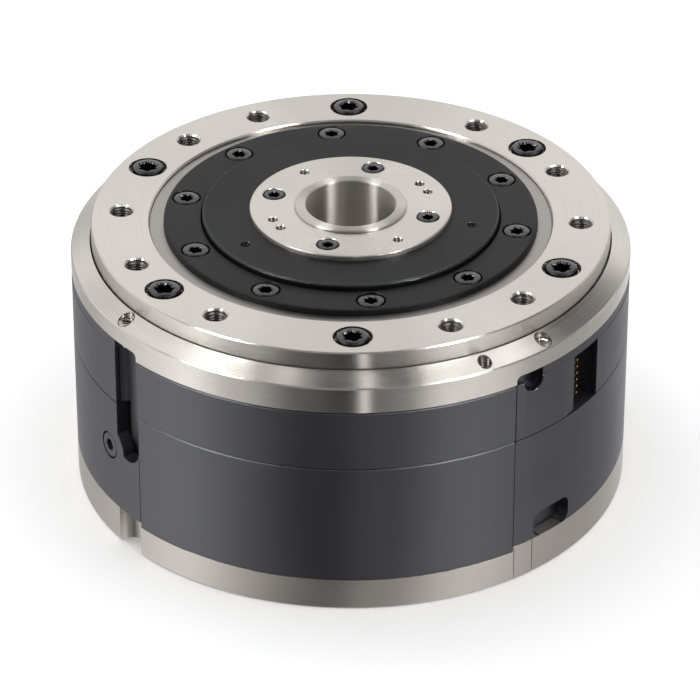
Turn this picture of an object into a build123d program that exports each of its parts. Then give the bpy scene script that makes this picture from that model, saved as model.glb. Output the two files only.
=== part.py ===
from build123d import *
import os
from math import cos, pi, radians, sin, sqrt

# Hollow-shaft rotary actuator: strain-wave gear, crossed-roller output bearing and frameless motor.
# Millimetres and degrees. +Z is the output axis, z = 0 is the mounting face of the base, and +X
# looks out through the middle of the connector window. Angles run anticlockwise from +X.

# Outside of the housing
body_radius = 75.0
base_height = 10.4
base_front_drop = 1.5
lower_height = 32.8
upper_height = 17.0
band_height = 2.8
rim_height = 4.8
cone_rise = 2.5
shell_wall = 3.6
upper_wall = 1.3
band_inset = 0.15
skirt_gap = 0.4
edge_break = 0.35

# Output face, from the retaining ring inwards, and from the bore outwards
cone_width = 5.1
flange_width = 15.7
flange_stand = 4.9
flange_sink = 4.3
ledge_width = 3.85
ledge_drop = 0.9
clamp_width = 10.05
clamp_stand = 0.9
clamp_thickness = 6.9
cover_gap = 0.2
cover_stand = 1.3
cover_step = 0.7
cover_rim = 2.3
cover_rim_thickness = 2.2
bore_radius = 12.0
tube_wall = 2.0
collar_width = 3.1
collar_height = 0.7
hub_width = 13.1
hub_stand = 1.3
hub_thickness = 4.9

# Clearances: a press or location fit, a running gap and a seam between covers
fit = 0.05
running_gap = 0.4
seam = 0.12

# Sector of the front covers, and the groove beside it
front_start = 256.5
front_end = 339.2
groove_radius = 4.75
groove_angle = 252.9
groove_centre = 74.6
groove_floor = 27.5
boss_radius = 7.2
clamp_screw_angle = 245.9
clamp_screw_height = 27.9

# Openings in the right-hand side
window_width = 10.6
window_flat = 4.4
window_depth = 5.2
port_angle = 343.7
port_radius = 3.05
port_height = 59.9
port_depth = 4.6
notch_angle = 349.55
notch_width = 13.5
notch_height = 7.7
notch_corner = 2.6
insert_start = 339.4
insert_end = 344.2

# Screw and hole patterns of the output face, as angles of one half turn; the other half repeats it
flange_pitch_inset = 8.0
flange_screw_angles = (8.5, 72.5, 125.0)
flange_tap_angles = (31.5, 58.5, 90.0, 149.2, 171.0)
tap_radius = 3.0
tap_chamfer = 0.4
tap_run_out = 1.5
tap_run_out_width = 0.6
clamp_pitch_inset = 4.95
clamp_screw_count = 10
clamp_phase = 23.2
jack_shift = 0.1
jack_angles = (20.4, 248.1)
jack_radius = 1.4
hub_pitch_inset = 5.7
hub_screw_count = 4
hub_phase = 18.1
hub_hole_inset = 5.1
hub_hole_angles = (54.5, 67.0, 159.0)
hub_hole_radius = 1.25
cone_pitch_inset = 2.7
cone_screw_angles = (70.8, 167.8)
cone_tap_angle = 152.8
cone_tap_radius = 1.9

# Cap screws: thread radius, head radius, head height, socket radius, counterbore radius
m5 = (2.5, 4.3, 5.0, 2.3, 5.2)
m4 = (2.0, 3.5, 4.0, 1.75, 3.85)
m3 = (1.5, 2.75, 3.0, 1.45, 3.05)
m2_5 = (1.25, 2.2, 2.5, 1.2, 2.3)
head_proud = 0.4
socket_depth = 0.6

# Crossed-roller bearing
roller_diameter = 5.0
roller_length = 4.9
roller_count = 40
race_clearance = 0.12
bearing_gap = 0.3
bearing_wall = 6.0
bearing_height = 8.8
outer_ring_thickness = 5.8
inner_ring_thickness = 13.2
inner_shoulder = 2.8
inner_web_lip = 3.0
inner_web_clearance = 1.38

# Strain-wave gear
flexspline_teeth = 100
circular_teeth = 102
deflection = 0.74
tooth_height = 0.9
tooth_play = 0.04
space_depth = 0.85
rim_thickness = 0.91
tooth_width = 1.0
space_width = 1.3
tooth_slope = 0.25
gear_width = 7.4
gear_offset = 0.6
flexspline_wall = 0.6
flexspline_flange = 1.2
circular_gap = 2.5
circular_thickness = 10.05
circular_height = 8.0
circular_pitch_inset = 4.2
circular_screw_count = 8
race_thickness = 1.5
ball_radius = 2.3
ball_play = 0.1
ball_count = 14
wave_width = 6.4

# Housing core, shafts and their bearings
web_thickness = 7.8
motor_play = 0.2
motor_wall = 9.7
motor_spigot = 2.0
shaft_gap = 1.2
input_wall = 2.3
input_bearing_section = 6.0
input_bearing_width = 7.0
bearing_ring_thickness = 2.0
bearing_lip = 2.0
rear_plate_bottom = 11.0
rear_plate_thickness = 8.0
stator_shelf = 5.5
shelf_height = 5.0
core_pitch_inset = 4.9
core_screw_count = 8
nut_width = 3.5
nut_height = 3.0

# Motor
air_gap = 0.6
slot_count = 18
yoke = 5.9
shoe_thickness = 2.0
tooth_half = 3.0
slot_opening = 2.4
coil_half = 6.5
coil_overhang = 4.0
coil_gap = 0.3
coil_clearance = 1.32
pole_count = 20
magnet_thickness = 2.8
magnet_overhang = 0.5
magnet_arc = 16.0
rotor_wall = 2.5
rotor_web = 3.0
rotor_overhang = 1.0

# Holding brake, from the input shaft outwards
brake_shaft_gap = 7.0
brake_inner_wall = 2.5
coil_width = 4.2
brake_outer_wall = 2.8
brake_floor = 2.5
brake_gap = 0.4
armature_thickness = 2.0
disc_inset = 3.0
disc_thickness = 2.2
end_plate_thickness = 1.5
end_plate_gap = 0.2
rotor_gap = 2.2
rotor_side_gap = 1.5
post_radius = 1.2
post_inset = 1.4
post_count = 3

# Electronics and encoder discs
board_bottom = 5.2
board_thickness = 1.6
board_gap = 1.5
board_shaft_gap = 5.0
standoff_inset = 4.0
standoff_radius = 2.5
standoff_count = 4
input_disc_width = 12.5
input_disc_gap = 1.8
output_disc_width = 10.0
output_disc_bottom = 3.3
disc_sheet = 0.7
chip_clearance = 0.8
sensor_inset = 5.0
sensor_clearance = 1.0
connector_length = 15.0
connector_width = 4.6
connector_play = 0.2
connector_thickness = 2.0
pin_rows = 6
pin_pitch = 2.0
pin_size = 0.55
pin_stand = 1.3

# Base and rear cover
rear_cover_inset = 12.2
rear_cover_seat = 6.3
rear_cover_thickness = 2.4
rear_recess = 0.6
shaft_end_recess = 0.8
base_pitch_inset = 8.0
base_pattern_count = 8
base_tap_radius = 2.5
base_tap_depth = 8.0
rear_screw_inset = 3.0
rear_screw_count = 6

# Overlap of a cutting tool past the face that it cuts
overcut = 1.0

# Heights that follow from the sizes above
joint_z = base_height + lower_height
shell_top = joint_z + upper_height
band_top = shell_top + band_height
rim_top = band_top + rim_height
cone_top = rim_top + cone_rise
flange_top = cone_top + flange_stand
flange_seat = cone_top - flange_sink
ledge_z = flange_top - ledge_drop
clamp_top = flange_top + clamp_stand
clamp_bottom = clamp_top - clamp_thickness
flex_seat = clamp_bottom - flexspline_flange
cover_top = clamp_top + cover_stand
cover_rim_bottom = clamp_bottom + 2 * fit
cover_bottom = cover_rim_bottom + cover_step
hub_top = cover_top + hub_stand
hub_seat = hub_top - hub_thickness
shaft_top = hub_top + collar_height
core_z = joint_z + seam
web_top = core_z + web_thickness
outer_ring_top = web_top + bearing_height
roller_z = web_top + bearing_height / 2
gear_bottom = web_top + gear_offset
gear_top = gear_bottom + gear_width
inner_web_z = web_top + circular_height + inner_web_clearance
motor_seat = base_height - motor_spigot
front_bearing_top = web_top - fit
front_bearing_z = front_bearing_top - input_bearing_width
rear_plate_top = rear_plate_bottom + rear_plate_thickness
rear_bearing_z = rear_plate_top - input_bearing_width
core_bottom = rear_plate_top + shelf_height
core_top = core_z - coil_overhang - coil_clearance
core_height = core_top - core_bottom
core_middle = core_bottom + core_height / 2
magnet_height = core_height + 2 * magnet_overhang
rotor_top = core_top + rotor_overhang
rotor_web_z = rotor_top - rotor_web
end_plate_z = rotor_web_z - rotor_gap - end_plate_thickness
disc_z = end_plate_z - end_plate_gap - disc_thickness
armature_z = disc_z - armature_thickness
brake_top = armature_z - brake_gap
board_top = board_bottom + board_thickness
input_disc_bottom = rear_plate_bottom - input_disc_gap
chip_space = rear_plate_bottom - board_top - chip_clearance
rear_cover_top = rear_recess + rear_cover_thickness

# Radii that follow, from the outside of the housing inwards
upper_bore = body_radius - upper_wall
band_radius = body_radius - band_inset
core_radius = upper_bore - seam
lower_bore = body_radius - shell_wall
motor_wall_radius = lower_bore - motor_play
motor_bore = motor_wall_radius - motor_wall
slot_bottom = motor_bore - yoke
ring_bore = body_radius - cone_width
flange_radius = ring_bore - running_gap
flange_bore = flange_radius - flange_width
clamp_radius = flange_bore - ledge_width
clamp_bore = clamp_radius - clamp_width
cover_radius = clamp_bore - cover_gap
cover_rim_radius = cover_radius + cover_rim
bearing_radius = body_radius - bearing_wall
roller_pitch = bearing_radius - outer_ring_thickness
race_half = (roller_diameter / 2 + race_clearance) * sqrt(2)
inner_ring_radius = roller_pitch - bearing_gap
outer_ring_bore = roller_pitch + bearing_gap
inner_ring_bore = roller_pitch - inner_ring_thickness
neck_radius = inner_ring_radius + inner_shoulder
circular_radius = inner_ring_bore - circular_gap
internal_tip = circular_radius - circular_thickness
internal_root = internal_tip + space_depth
tooth_tip = internal_tip - tooth_play
tooth_root = tooth_tip - tooth_height
rim_bore = tooth_root - rim_thickness
rear_cover_radius = body_radius - rear_cover_inset
base_bore = rear_cover_radius - rear_cover_seat
board_radius = base_bore - board_gap

# Radii that follow, from the bore outwards
tube_radius = bore_radius + tube_wall
collar_radius = bore_radius + collar_width
hub_radius = tube_radius + hub_width
board_bore = tube_radius + board_shaft_gap
output_disc_radius = tube_radius + output_disc_width
input_bore = tube_radius + shaft_gap
input_radius = input_bore + input_wall
input_bearing_radius = input_radius + input_bearing_section
input_disc_radius = input_radius + input_disc_width
nut_radius = input_radius + nut_width
brake_bore = input_radius + brake_shaft_gap
coil_inner = brake_bore + brake_inner_wall
coil_outer = coil_inner + coil_width
brake_radius = coil_outer + brake_outer_wall
disc_radius = brake_radius - disc_inset
rotor_bore = brake_radius + rotor_side_gap
magnet_seat = rotor_bore + rotor_wall
magnet_radius = magnet_seat + magnet_thickness
core_bore = magnet_radius + air_gap

# Pitch circles that follow
base_pitch = body_radius - base_pitch_inset
cone_pitch = body_radius - cone_pitch_inset
core_screw_pitch = motor_wall_radius - core_pitch_inset
flange_pitch = flange_radius - flange_pitch_inset
clamp_pitch = clamp_radius - clamp_pitch_inset
inner_web_bore = clamp_pitch - inner_web_lip
circular_pitch = circular_radius - circular_pitch_inset
jack_pitch = (cover_radius + hub_radius) / 2 - jack_shift
hub_pitch = hub_radius - hub_pitch_inset
hub_hole_pitch = hub_radius - hub_hole_inset
post_pitch = brake_radius - post_inset
standoff_pitch = board_radius - standoff_inset
rear_screw_pitch = rear_cover_radius - rear_screw_inset
half_turns = (0, 180)


def radial_plane(angle):
    """A plane through the axis: local x runs outwards at the angle, local y runs up."""
    c, s = cos(radians(angle)), sin(radians(angle))
    return Plane(origin=(0, 0, 0), x_dir=(c, s, 0), z_dir=(s, -c, 0))


def facing_plane(angle, radius, height):
    """A plane that faces outwards at the angle: local x runs anticlockwise, local y runs up."""
    c, s = cos(radians(angle)), sin(radians(angle))
    return Plane(origin=(radius * c, radius * s, height), x_dir=(-s, c, 0), z_dir=(c, s, 0))


def underside(height):
    """A plane that faces down. Angles on it run the other way, so they are given as negative."""
    return Plane(origin=(0, 0, height), x_dir=(1, 0, 0), z_dir=(0, 0, -1))


def section(*corners, angle=0):
    """The half section of a turned piece, from (radius, height) corners."""
    with BuildSketch(radial_plane(angle)) as outline:
        with BuildLine():
            Polyline(*corners, close=True)
        make_face()
    return outline.sketch


def tube_section(inner, outer, bottom, top, angle=0):
    return section((inner, bottom), (outer, bottom), (outer, top), (inner, top), angle=angle)


def sector(inner, outer, bottom, top, start, end):
    """Part of a ring, from one angle to another."""
    with BuildPart() as piece:
        revolve(tube_section(inner, outer, bottom, top, angle=start), axis=Axis.Z,
                revolution_arc=(end - start) % 360)
    return piece.part


def cap_screw(size, length, head=None):
    """A socket cap screw with the top of its head at the origin, pointing down."""
    thread, head_radius, head_height, socket, _ = size
    head_height = head or head_height
    with BuildPart() as screw:
        Cylinder(head_radius, head_height, align=(Align.CENTER, Align.CENTER, Align.MAX))
        with Locations((0, 0, -head_height)):
            Cylinder(thread, length, align=(Align.CENTER, Align.CENTER, Align.MAX))
        with BuildSketch():
            RegularPolygon(socket, 6, major_radius=False)
        extrude(amount=-head_height * socket_depth, mode=Mode.SUBTRACT)
    return screw.part


def around(radius, angles, height):
    """Places on the output face at the given angles, facing up."""
    return Locations(*[
        Location((radius * cos(radians(a)), radius * sin(radians(a)), height), (0, 0, a))
        for a in angles
    ])


def both_halves(angles):
    return [a + turn for turn in half_turns for a in angles]


def countersunk_screw(size, length):
    """A countersunk screw with its flat head at the origin, pointing down."""
    thread, head_radius, _, socket, _ = size
    with BuildPart() as screw:
        Cone(thread, head_radius - fit, head_radius - thread,
             align=(Align.CENTER, Align.CENTER, Align.MAX))
        Cylinder(thread, length, align=(Align.CENTER, Align.CENTER, Align.MAX))
        with BuildSketch():
            RegularPolygon(socket * 0.7, 6, major_radius=False)
        extrude(amount=-thread, mode=Mode.SUBTRACT)
    return screw.part


flange_screws_at = both_halves(flange_screw_angles)
flange_taps_at = both_halves(flange_tap_angles)
hub_holes_at = both_halves(hub_hole_angles)
cone_screws_at = both_halves(cone_screw_angles)
cone_taps_at = both_halves((cone_tap_angle,))

# Cone height above the retaining ring's rim at a radius, for the screws that sit on the slope
cone_slope = cone_rise / (body_radius - ring_bore)
cone_screw_z = rim_top + (body_radius - cone_pitch - m2_5[4]) * cone_slope


# Base ring: steel, lower along the front covers, with a groove and a pocket for the insert
with BuildPart() as base_ring:
    revolve(section(
        (base_bore, rear_cover_top), (rear_cover_radius + seam, rear_cover_top),
        (rear_cover_radius + seam, 0), (body_radius - edge_break, 0),
        (body_radius, edge_break), (body_radius, base_height), (lower_bore, base_height),
        (lower_bore, motor_seat), (base_bore, motor_seat),
    ), axis=Axis.Z)
    add(sector(motor_wall_radius, body_radius + overcut, base_height - base_front_drop,
               base_height + overcut, front_start, front_end), mode=Mode.SUBTRACT)
    add(sector(motor_wall_radius, body_radius + overcut, -overcut, base_height + overcut,
               insert_start, insert_end), mode=Mode.SUBTRACT)
    with around(groove_centre, (groove_angle,), 0):
        Cylinder(groove_radius, base_height, mode=Mode.SUBTRACT,
                 align=(Align.CENTER, Align.CENTER, Align.MIN))
    with Locations(underside(0)):
        with PolarLocations(base_pitch, base_pattern_count):
            Hole(base_tap_radius, depth=base_tap_depth)
        with PolarLocations(base_pitch, base_pattern_count, start_angle=180 / base_pattern_count):
            CounterBoreHole(m4[0] + fit, m4[4], m4[2] + head_proud)
    with Locations(underside(rear_cover_top)):
        with PolarLocations(rear_screw_pitch, rear_screw_count):
            Hole(m3[0] + fit)

with BuildPart() as base_insert:
    add(sector(motor_wall_radius + fit, body_radius, 0, base_height,
               insert_start + seam, insert_end - seam))

with BuildPart() as base_screws:
    with Locations(underside(head_proud)):
        with PolarLocations(base_pitch, base_pattern_count, start_angle=180 / base_pattern_count):
            add(cap_screw(m4, motor_seat))

with BuildPart() as rear_cover:
    revolve(tube_section(tube_radius + running_gap, rear_cover_radius, rear_recess, rear_cover_top),
            axis=Axis.Z)
    with Locations(underside(rear_recess)):
        with PolarLocations(rear_screw_pitch, rear_screw_count):
            CounterSinkHole(m3[0] + fit, m3[1])

with BuildPart() as rear_cover_screws:
    with Locations(underside(rear_recess)):
        with PolarLocations(rear_screw_pitch, rear_screw_count):
            add(countersunk_screw(m3, rear_cover_thickness + m3[2]))

# Motor housing: thick aluminium wall with a shelf that carries the stator and the rear plate
with BuildPart() as motor_housing:
    revolve(section(
        (motor_bore, motor_seat), (motor_wall_radius, motor_seat), (motor_wall_radius, core_z),
        (motor_bore, core_z), (motor_bore, core_bottom), (motor_bore - stator_shelf, core_bottom),
        (motor_bore - stator_shelf, rear_plate_top), (motor_bore, rear_plate_top),
    ), axis=Axis.Z)
    with around(groove_centre, (groove_angle,), groove_floor):
        Cylinder(groove_radius, core_z, mode=Mode.SUBTRACT,
                 align=(Align.CENTER, Align.CENTER, Align.MIN))
    with Locations(underside(motor_seat)):
        with PolarLocations(base_pitch, base_pattern_count, start_angle=180 / base_pattern_count):
            Hole(m4[0] + fit, depth=m4[2] + motor_seat)
    with Locations(Plane.XY.offset(core_z)):
        with PolarLocations(core_screw_pitch, core_screw_count):
            Hole(m4[0] + fit, depth=m4[2] + m4[2])
    with Locations(facing_plane(clamp_screw_angle, motor_wall_radius, clamp_screw_height)):
        Hole(m4[0] + fit, depth=m4[2])


def groove_outline():
    """The round-ended groove in the lower shell, with the screw boss standing into it."""
    half_width = radians(front_start - groove_angle) * body_radius
    boss_x = radians(clamp_screw_angle - groove_angle) * body_radius
    with BuildSketch(facing_plane(groove_angle, body_radius + overcut, 0)) as outline:
        with Locations((0, groove_floor + half_width)):
            Circle(half_width)
            Rectangle(2 * half_width, lower_height, align=(Align.CENTER, Align.MIN))
        with Locations((boss_x, clamp_screw_height)):
            Circle(boss_radius, mode=Mode.SUBTRACT)
    return outline.sketch


def notch_outline():
    """The cable notch in the bottom edge of the lower shell, with round top corners."""
    with BuildSketch(facing_plane(notch_angle, body_radius + overcut, base_height)) as outline:
        Rectangle(notch_width, notch_height, align=(Align.CENTER, Align.MIN))
        fillet(outline.vertices().group_by(Axis.Z)[-1], notch_corner)
    return outline.sketch


# Lower covers: the shell wraps round from the seam to the groove, the front cover closes the rest
with BuildPart() as lower_housing:
    add(sector(lower_bore, body_radius, base_height, joint_z, front_end + seam / 2, front_start))
    extrude(groove_outline(), amount=-shell_wall - 2 * overcut, mode=Mode.SUBTRACT)
    extrude(notch_outline(), amount=-shell_wall - 2 * overcut, mode=Mode.SUBTRACT)
    with Locations(facing_plane(clamp_screw_angle, body_radius, clamp_screw_height)):
        CounterBoreHole(m4[0] + fit, m4[4], shell_wall / 2 + 2 * fit,
                        depth=shell_wall + overcut)

with BuildPart() as lower_front_cover:
    add(sector(lower_bore, body_radius, base_height - base_front_drop, joint_z,
               front_start + seam, front_end - seam / 2))

with BuildPart() as clamp_screw:
    with Locations(facing_plane(clamp_screw_angle, body_radius - fit, clamp_screw_height)):
        add(cap_screw(m4, m4[2], head=shell_wall / 2))

# Upper covers: thin shells round the bearing housing. The connector window parts them over their
# whole height, so the short piece between the window and the seam is a cover of its own
def window_space():
    with BuildPart() as space:
        with Locations((0, 0, joint_z)):
            Box(2 * body_radius, window_width, upper_height + overcut,
                align=(Align.MIN, Align.CENTER, Align.MIN))
    return space.part


with BuildPart() as upper_housing:
    add(sector(upper_bore, body_radius, joint_z + seam, shell_top,
               0, 2 * groove_angle - front_start))
    add(window_space(), mode=Mode.SUBTRACT)

with BuildPart() as port_cover:
    flat_edge = window_width / 2 + window_flat
    add(sector(upper_bore, body_radius, joint_z + seam, shell_top, front_end + seam / 2, 0))
    add(window_space(), mode=Mode.SUBTRACT)
    with Locations((sqrt(body_radius ** 2 - flat_edge ** 2), 0, joint_z)):
        Box(window_depth, 2 * flat_edge, upper_height + overcut, mode=Mode.SUBTRACT,
            align=(Align.MIN, Align.CENTER, Align.MIN))
    with Locations(facing_plane(port_angle, body_radius + overcut, port_height)):
        Cylinder(port_radius, 2 * port_depth, mode=Mode.SUBTRACT)

with BuildPart() as upper_front_cover:
    add(sector(upper_bore, body_radius, joint_z + seam, shell_top,
               front_start + seam, front_end - seam / 2))

# Bearing housing: web with the input bearing seat, wall round the crossed-roller bearing, and the
# dark band under the retaining ring, which gives way to the ring's skirt along the front
with BuildPart() as bearing_housing:
    revolve(section(
        (input_bearing_radius - bearing_lip, core_z), (core_radius, core_z),
        (core_radius, shell_top + fit), (band_radius, shell_top + fit), (band_radius, band_top),
        (bearing_radius + fit, band_top), (bearing_radius + fit, web_top),
        (input_bearing_radius + fit, web_top), (input_bearing_radius + fit, front_bearing_z),
        (input_bearing_radius - bearing_lip, front_bearing_z),
    ), axis=Axis.Z)
    add(sector(core_radius, body_radius, shell_top, band_top + overcut,
               2 * groove_angle - front_start, port_angle + port_radius / body_radius * 180 / pi),
        mode=Mode.SUBTRACT)
    with around(groove_centre, (groove_angle,), core_z - overcut):
        Cylinder(groove_radius, band_top, mode=Mode.SUBTRACT,
                 align=(Align.CENTER, Align.CENTER, Align.MIN))
    with Locations((body_radius - window_depth, 0, core_z)):
        Box(window_depth, window_width, shell_top - core_z, mode=Mode.SUBTRACT,
            align=(Align.MIN, Align.CENTER, Align.MIN))
    with BuildSketch(facing_plane(port_angle, body_radius + overcut, port_height)):
        Circle(port_radius)
        Rectangle(2 * port_radius, band_top, align=(Align.CENTER, Align.MIN))
    extrude(amount=-port_depth, mode=Mode.SUBTRACT)
    with Locations(Plane.XY.offset(web_top)):
        with PolarLocations(core_screw_pitch, core_screw_count):
            CounterBoreHole(m4[0] + fit, m4[1] + fit, m4[2] + fit)
        with PolarLocations(circular_pitch, circular_screw_count):
            Hole(m3[0] + fit, depth=2 * m3[2])
    with around(cone_pitch, cone_screws_at, band_top):
        Hole(m2_5[0] + fit, depth=2 * m2_5[2])

with BuildPart() as bearing_housing_screws:
    with Locations(Plane.XY.offset(web_top - fit)):
        with PolarLocations(core_screw_pitch, core_screw_count):
            add(cap_screw(m4, web_thickness))


# Retaining ring: clamps the bearing's outer ring and reaches down as a skirt along the front
def skirt_relief():
    """What is cut from under the ring away from the skirt, with round corners at the skirt's ends."""
    start = front_end + seam / radians(body_radius)
    with BuildPart() as relief:
        revolve(tube_section(core_radius - overcut, body_radius + overcut, shell_top - overcut, band_top,
                             angle=start),
                axis=Axis.Z, revolution_arc=(front_start - start) % 360)
        ends = relief.edges().filter_by(GeomType.LINE).filter_by(
            lambda edge: abs(edge.center().Z - band_top) < fit)
        fillet(ends, band_height / 2)
    return relief.part


with BuildPart() as retaining_ring:
    revolve(section(
        (neck_radius + running_gap, outer_ring_top), (bearing_radius - fit, outer_ring_top),
        (bearing_radius - fit, band_top), (core_radius + fit, band_top),
        (core_radius + fit, shell_top + skirt_gap), (body_radius, shell_top + skirt_gap),
        (body_radius, rim_top - edge_break), (body_radius - edge_break, rim_top),
        (ring_bore, cone_top), (ring_bore, flange_seat), (neck_radius + running_gap, flange_seat),
    ), axis=Axis.Z)
    add(skirt_relief(), mode=Mode.SUBTRACT)
    with around(cone_pitch, cone_screws_at, cone_screw_z):
        CounterBoreHole(m2_5[0] + fit, m2_5[4], m2_5[2] + fit)
    with around(cone_pitch, cone_screws_at, cone_screw_z):
        Cylinder(m2_5[4], cone_rise, mode=Mode.SUBTRACT,
                 align=(Align.CENTER, Align.CENTER, Align.MIN))
    with around(cone_pitch, cone_taps_at, cone_top):
        Hole(cone_tap_radius, depth=cone_rise + rim_height - overcut)

with BuildPart() as retaining_ring_screws:
    with around(cone_pitch, cone_screws_at, cone_screw_z - fit):
        add(cap_screw(m2_5, rim_height))

with BuildPart() as output_seal:
    revolve(section(
        (ring_bore - fit, flange_seat + fit), (ring_bore - fit, flange_seat + cone_rise),
        (neck_radius + 2 * fit, flange_seat + cone_rise),
        (neck_radius + running_gap + 1, flange_seat + fit),
    ), axis=Axis.Z)


# Crossed-roller bearing: the outer ring is split at the rollers' plane, the inner ring is the
# output's body and carries the flange, the flexspline and the clamp ring
def groove_corners(radius, outward):
    """The corners of the V groove of a ring, from its face at the radius."""
    depth = race_half - bearing_gap
    return ((radius, roller_z - depth), (radius + outward * depth, roller_z),
            (radius, roller_z + depth))


with BuildPart() as bearing_outer_ring:
    lower, middle, upper = groove_corners(outer_ring_bore, 1)
    revolve(section(
        (outer_ring_bore, web_top), (bearing_radius, web_top), (bearing_radius, roller_z - fit),
        (middle[0] - fit, roller_z - fit), lower,
    ), axis=Axis.Z)
    revolve(section(
        (outer_ring_bore, outer_ring_top), (bearing_radius, outer_ring_top),
        (bearing_radius, roller_z + fit), (middle[0] - fit, roller_z + fit), upper,
    ), axis=Axis.Z)

with BuildPart() as bearing_inner_ring:
    lower, middle, upper = groove_corners(inner_ring_radius, -1)
    revolve(section(
        (inner_ring_bore, web_top + running_gap), (inner_ring_radius, web_top + running_gap),
        lower, middle, upper, (inner_ring_radius, outer_ring_top + running_gap),
        (neck_radius, outer_ring_top + running_gap), (neck_radius, flange_seat),
        (flange_bore - 2 * fit, flange_seat), (flange_bore - 2 * fit, ledge_z),
        (clamp_radius + 2 * fit, ledge_z), (clamp_radius + 2 * fit, flex_seat),
        (inner_web_bore, flex_seat), (inner_web_bore, inner_web_z), (inner_ring_bore, inner_web_z),
    ), axis=Axis.Z)
    with around(flange_pitch, flange_screws_at, flange_seat):
        Hole(m5[0] + fit, depth=flange_seat - outer_ring_top - 2 * running_gap)
    with around(flange_pitch, flange_taps_at, flange_seat):
        Hole(tap_radius + tap_run_out_width, depth=tap_run_out)
    with Locations(Plane.XY.offset(flex_seat)):
        with PolarLocations(clamp_pitch, clamp_screw_count, start_angle=clamp_phase):
            Hole(m4[0] + fit, depth=flex_seat - inner_web_z)


def roller_places(offset):
    """Places in the race, each leaning the other way from the one before."""
    step = 360 / roller_count
    return [
        Location((0, 0, 0), (0, 0, (i + offset) * step))
        * Location((roller_pitch, 0, roller_z), (0, 45 if i % 2 else -45, 0))
        for i in range(roller_count)
    ]


with BuildPart() as bearing_rollers:
    with Locations(*roller_places(0)):
        Cylinder(roller_diameter / 2, roller_length)

with BuildPart() as roller_spacers:
    spacer_length = 2 * pi * roller_pitch / roller_count - roller_diameter - 2 * running_gap
    with Locations(*roller_places(0.5)):
        Box(roller_diameter - fit, spacer_length, roller_diameter - fit)

# Steel output flange with six bolts into the inner ring and ten tapped holes for the load
with BuildPart() as output_flange:
    revolve(section(
        (flange_bore, flange_seat), (neck_radius, flange_seat),
        (neck_radius, flange_seat + cone_rise + running_gap),
        (flange_radius, flange_seat + cone_rise + running_gap),
        (flange_radius, flange_top - edge_break), (flange_radius - edge_break, flange_top),
        (flange_bore + edge_break, flange_top), (flange_bore, flange_top - edge_break),
    ), axis=Axis.Z)
    with around(flange_pitch, flange_screws_at, flange_top):
        CounterBoreHole(m5[0] + fit, m5[4], m5[2] - head_proud)
    with around(flange_pitch, flange_taps_at, flange_top):
        CounterSinkHole(tap_radius, tap_radius + tap_chamfer, counter_sink_angle=90)

with BuildPart() as output_flange_screws:
    with around(flange_pitch, flange_screws_at, flange_top + head_proud):
        add(cap_screw(m5, m5[2] + m5[0]))


# Strain-wave gear: the flexspline leans out at the wave generator's two lobes and meshes there
def polar(radius, angle):
    return radius * cos(angle), radius * sin(angle)


def flexspline_teeth_outline():
    """Tooth tips and roots of the flexspline, bent by the wave generator to its oval."""
    points = []
    for i in range(flexspline_teeth):
        turn = 2 * pi * i / flexspline_teeth
        lean = deflection * cos(2 * turn)
        centre = turn - deflection / (2 * tooth_tip) * sin(2 * turn)
        wide = (tooth_width + tooth_slope) / 2 / tooth_root
        narrow = (tooth_width - tooth_slope) / 2 / tooth_tip
        points += [
            polar(tooth_root + lean, centre - wide), polar(tooth_tip + lean, centre - narrow),
            polar(tooth_tip + lean, centre + narrow), polar(tooth_root + lean, centre + wide),
        ]
    return points


def circular_teeth_outline():
    """Tooth spaces of the circular spline: one space lies at each lobe of the wave generator."""
    points = []
    for i in range(circular_teeth):
        centre = 2 * pi * i / circular_teeth
        wide = (space_width + tooth_slope) / 2 / internal_tip
        narrow = (space_width - tooth_slope) / 2 / internal_root
        points += [
            polar(internal_tip, centre - wide), polar(internal_root, centre - narrow),
            polar(internal_root, centre + narrow), polar(internal_tip, centre + wide),
        ]
    return points


def oval(radius):
    """An oval that is the given radius on average, drawn out along X by the wave generator."""
    return Ellipse(radius + deflection, radius - deflection)


with BuildPart() as circular_spline:
    with BuildSketch(Plane.XY.offset(web_top)):
        Circle(circular_radius)
        with BuildLine():
            Polyline(*circular_teeth_outline(), close=True)
        make_face(mode=Mode.SUBTRACT)
    extrude(amount=circular_height)
    with Locations(Plane.XY.offset(web_top + circular_height)):
        with PolarLocations(circular_pitch, circular_screw_count):
            CounterBoreHole(m3[0] + fit, m3[1] + fit, m3[2] + fit)

with BuildPart() as circular_spline_screws:
    with Locations(Plane.XY.offset(web_top + circular_height - fit)):
        with PolarLocations(circular_pitch, circular_screw_count):
            add(cap_screw(m3, circular_height))

with BuildPart() as flexspline:
    with BuildSketch(Plane.XY.offset(gear_bottom)):
        with BuildLine():
            Polyline(*flexspline_teeth_outline(), close=True)
        make_face()
    extrude(amount=gear_width)
    with BuildSketch(Plane.XY.offset(gear_top)):
        oval(tooth_root)
    with BuildSketch(Plane.XY.offset(flex_seat)):
        Circle(tooth_root)
    loft()
    with BuildSketch(Plane.XY.offset(flex_seat)):
        Circle(clamp_radius - 2 * fit)
    extrude(amount=flexspline_flange)
    with BuildSketch(Plane.XY.offset(gear_bottom)):
        oval(rim_bore)
    extrude(amount=gear_width, mode=Mode.SUBTRACT)
    with BuildSketch(Plane.XY.offset(gear_top)):
        oval(rim_bore)
    with BuildSketch(Plane.XY.offset(flex_seat)):
        Circle(tooth_root - flexspline_wall)
    loft(mode=Mode.SUBTRACT)
    with BuildSketch(Plane.XY.offset(flex_seat)):
        Circle(tooth_root - flexspline_wall)
    extrude(amount=flexspline_flange, mode=Mode.SUBTRACT)
    with Locations(Plane.XY.offset(clamp_bottom)):
        with PolarLocations(clamp_pitch, clamp_screw_count, start_angle=clamp_phase):
            Hole(m4[0] + fit, depth=flexspline_flange)

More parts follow.
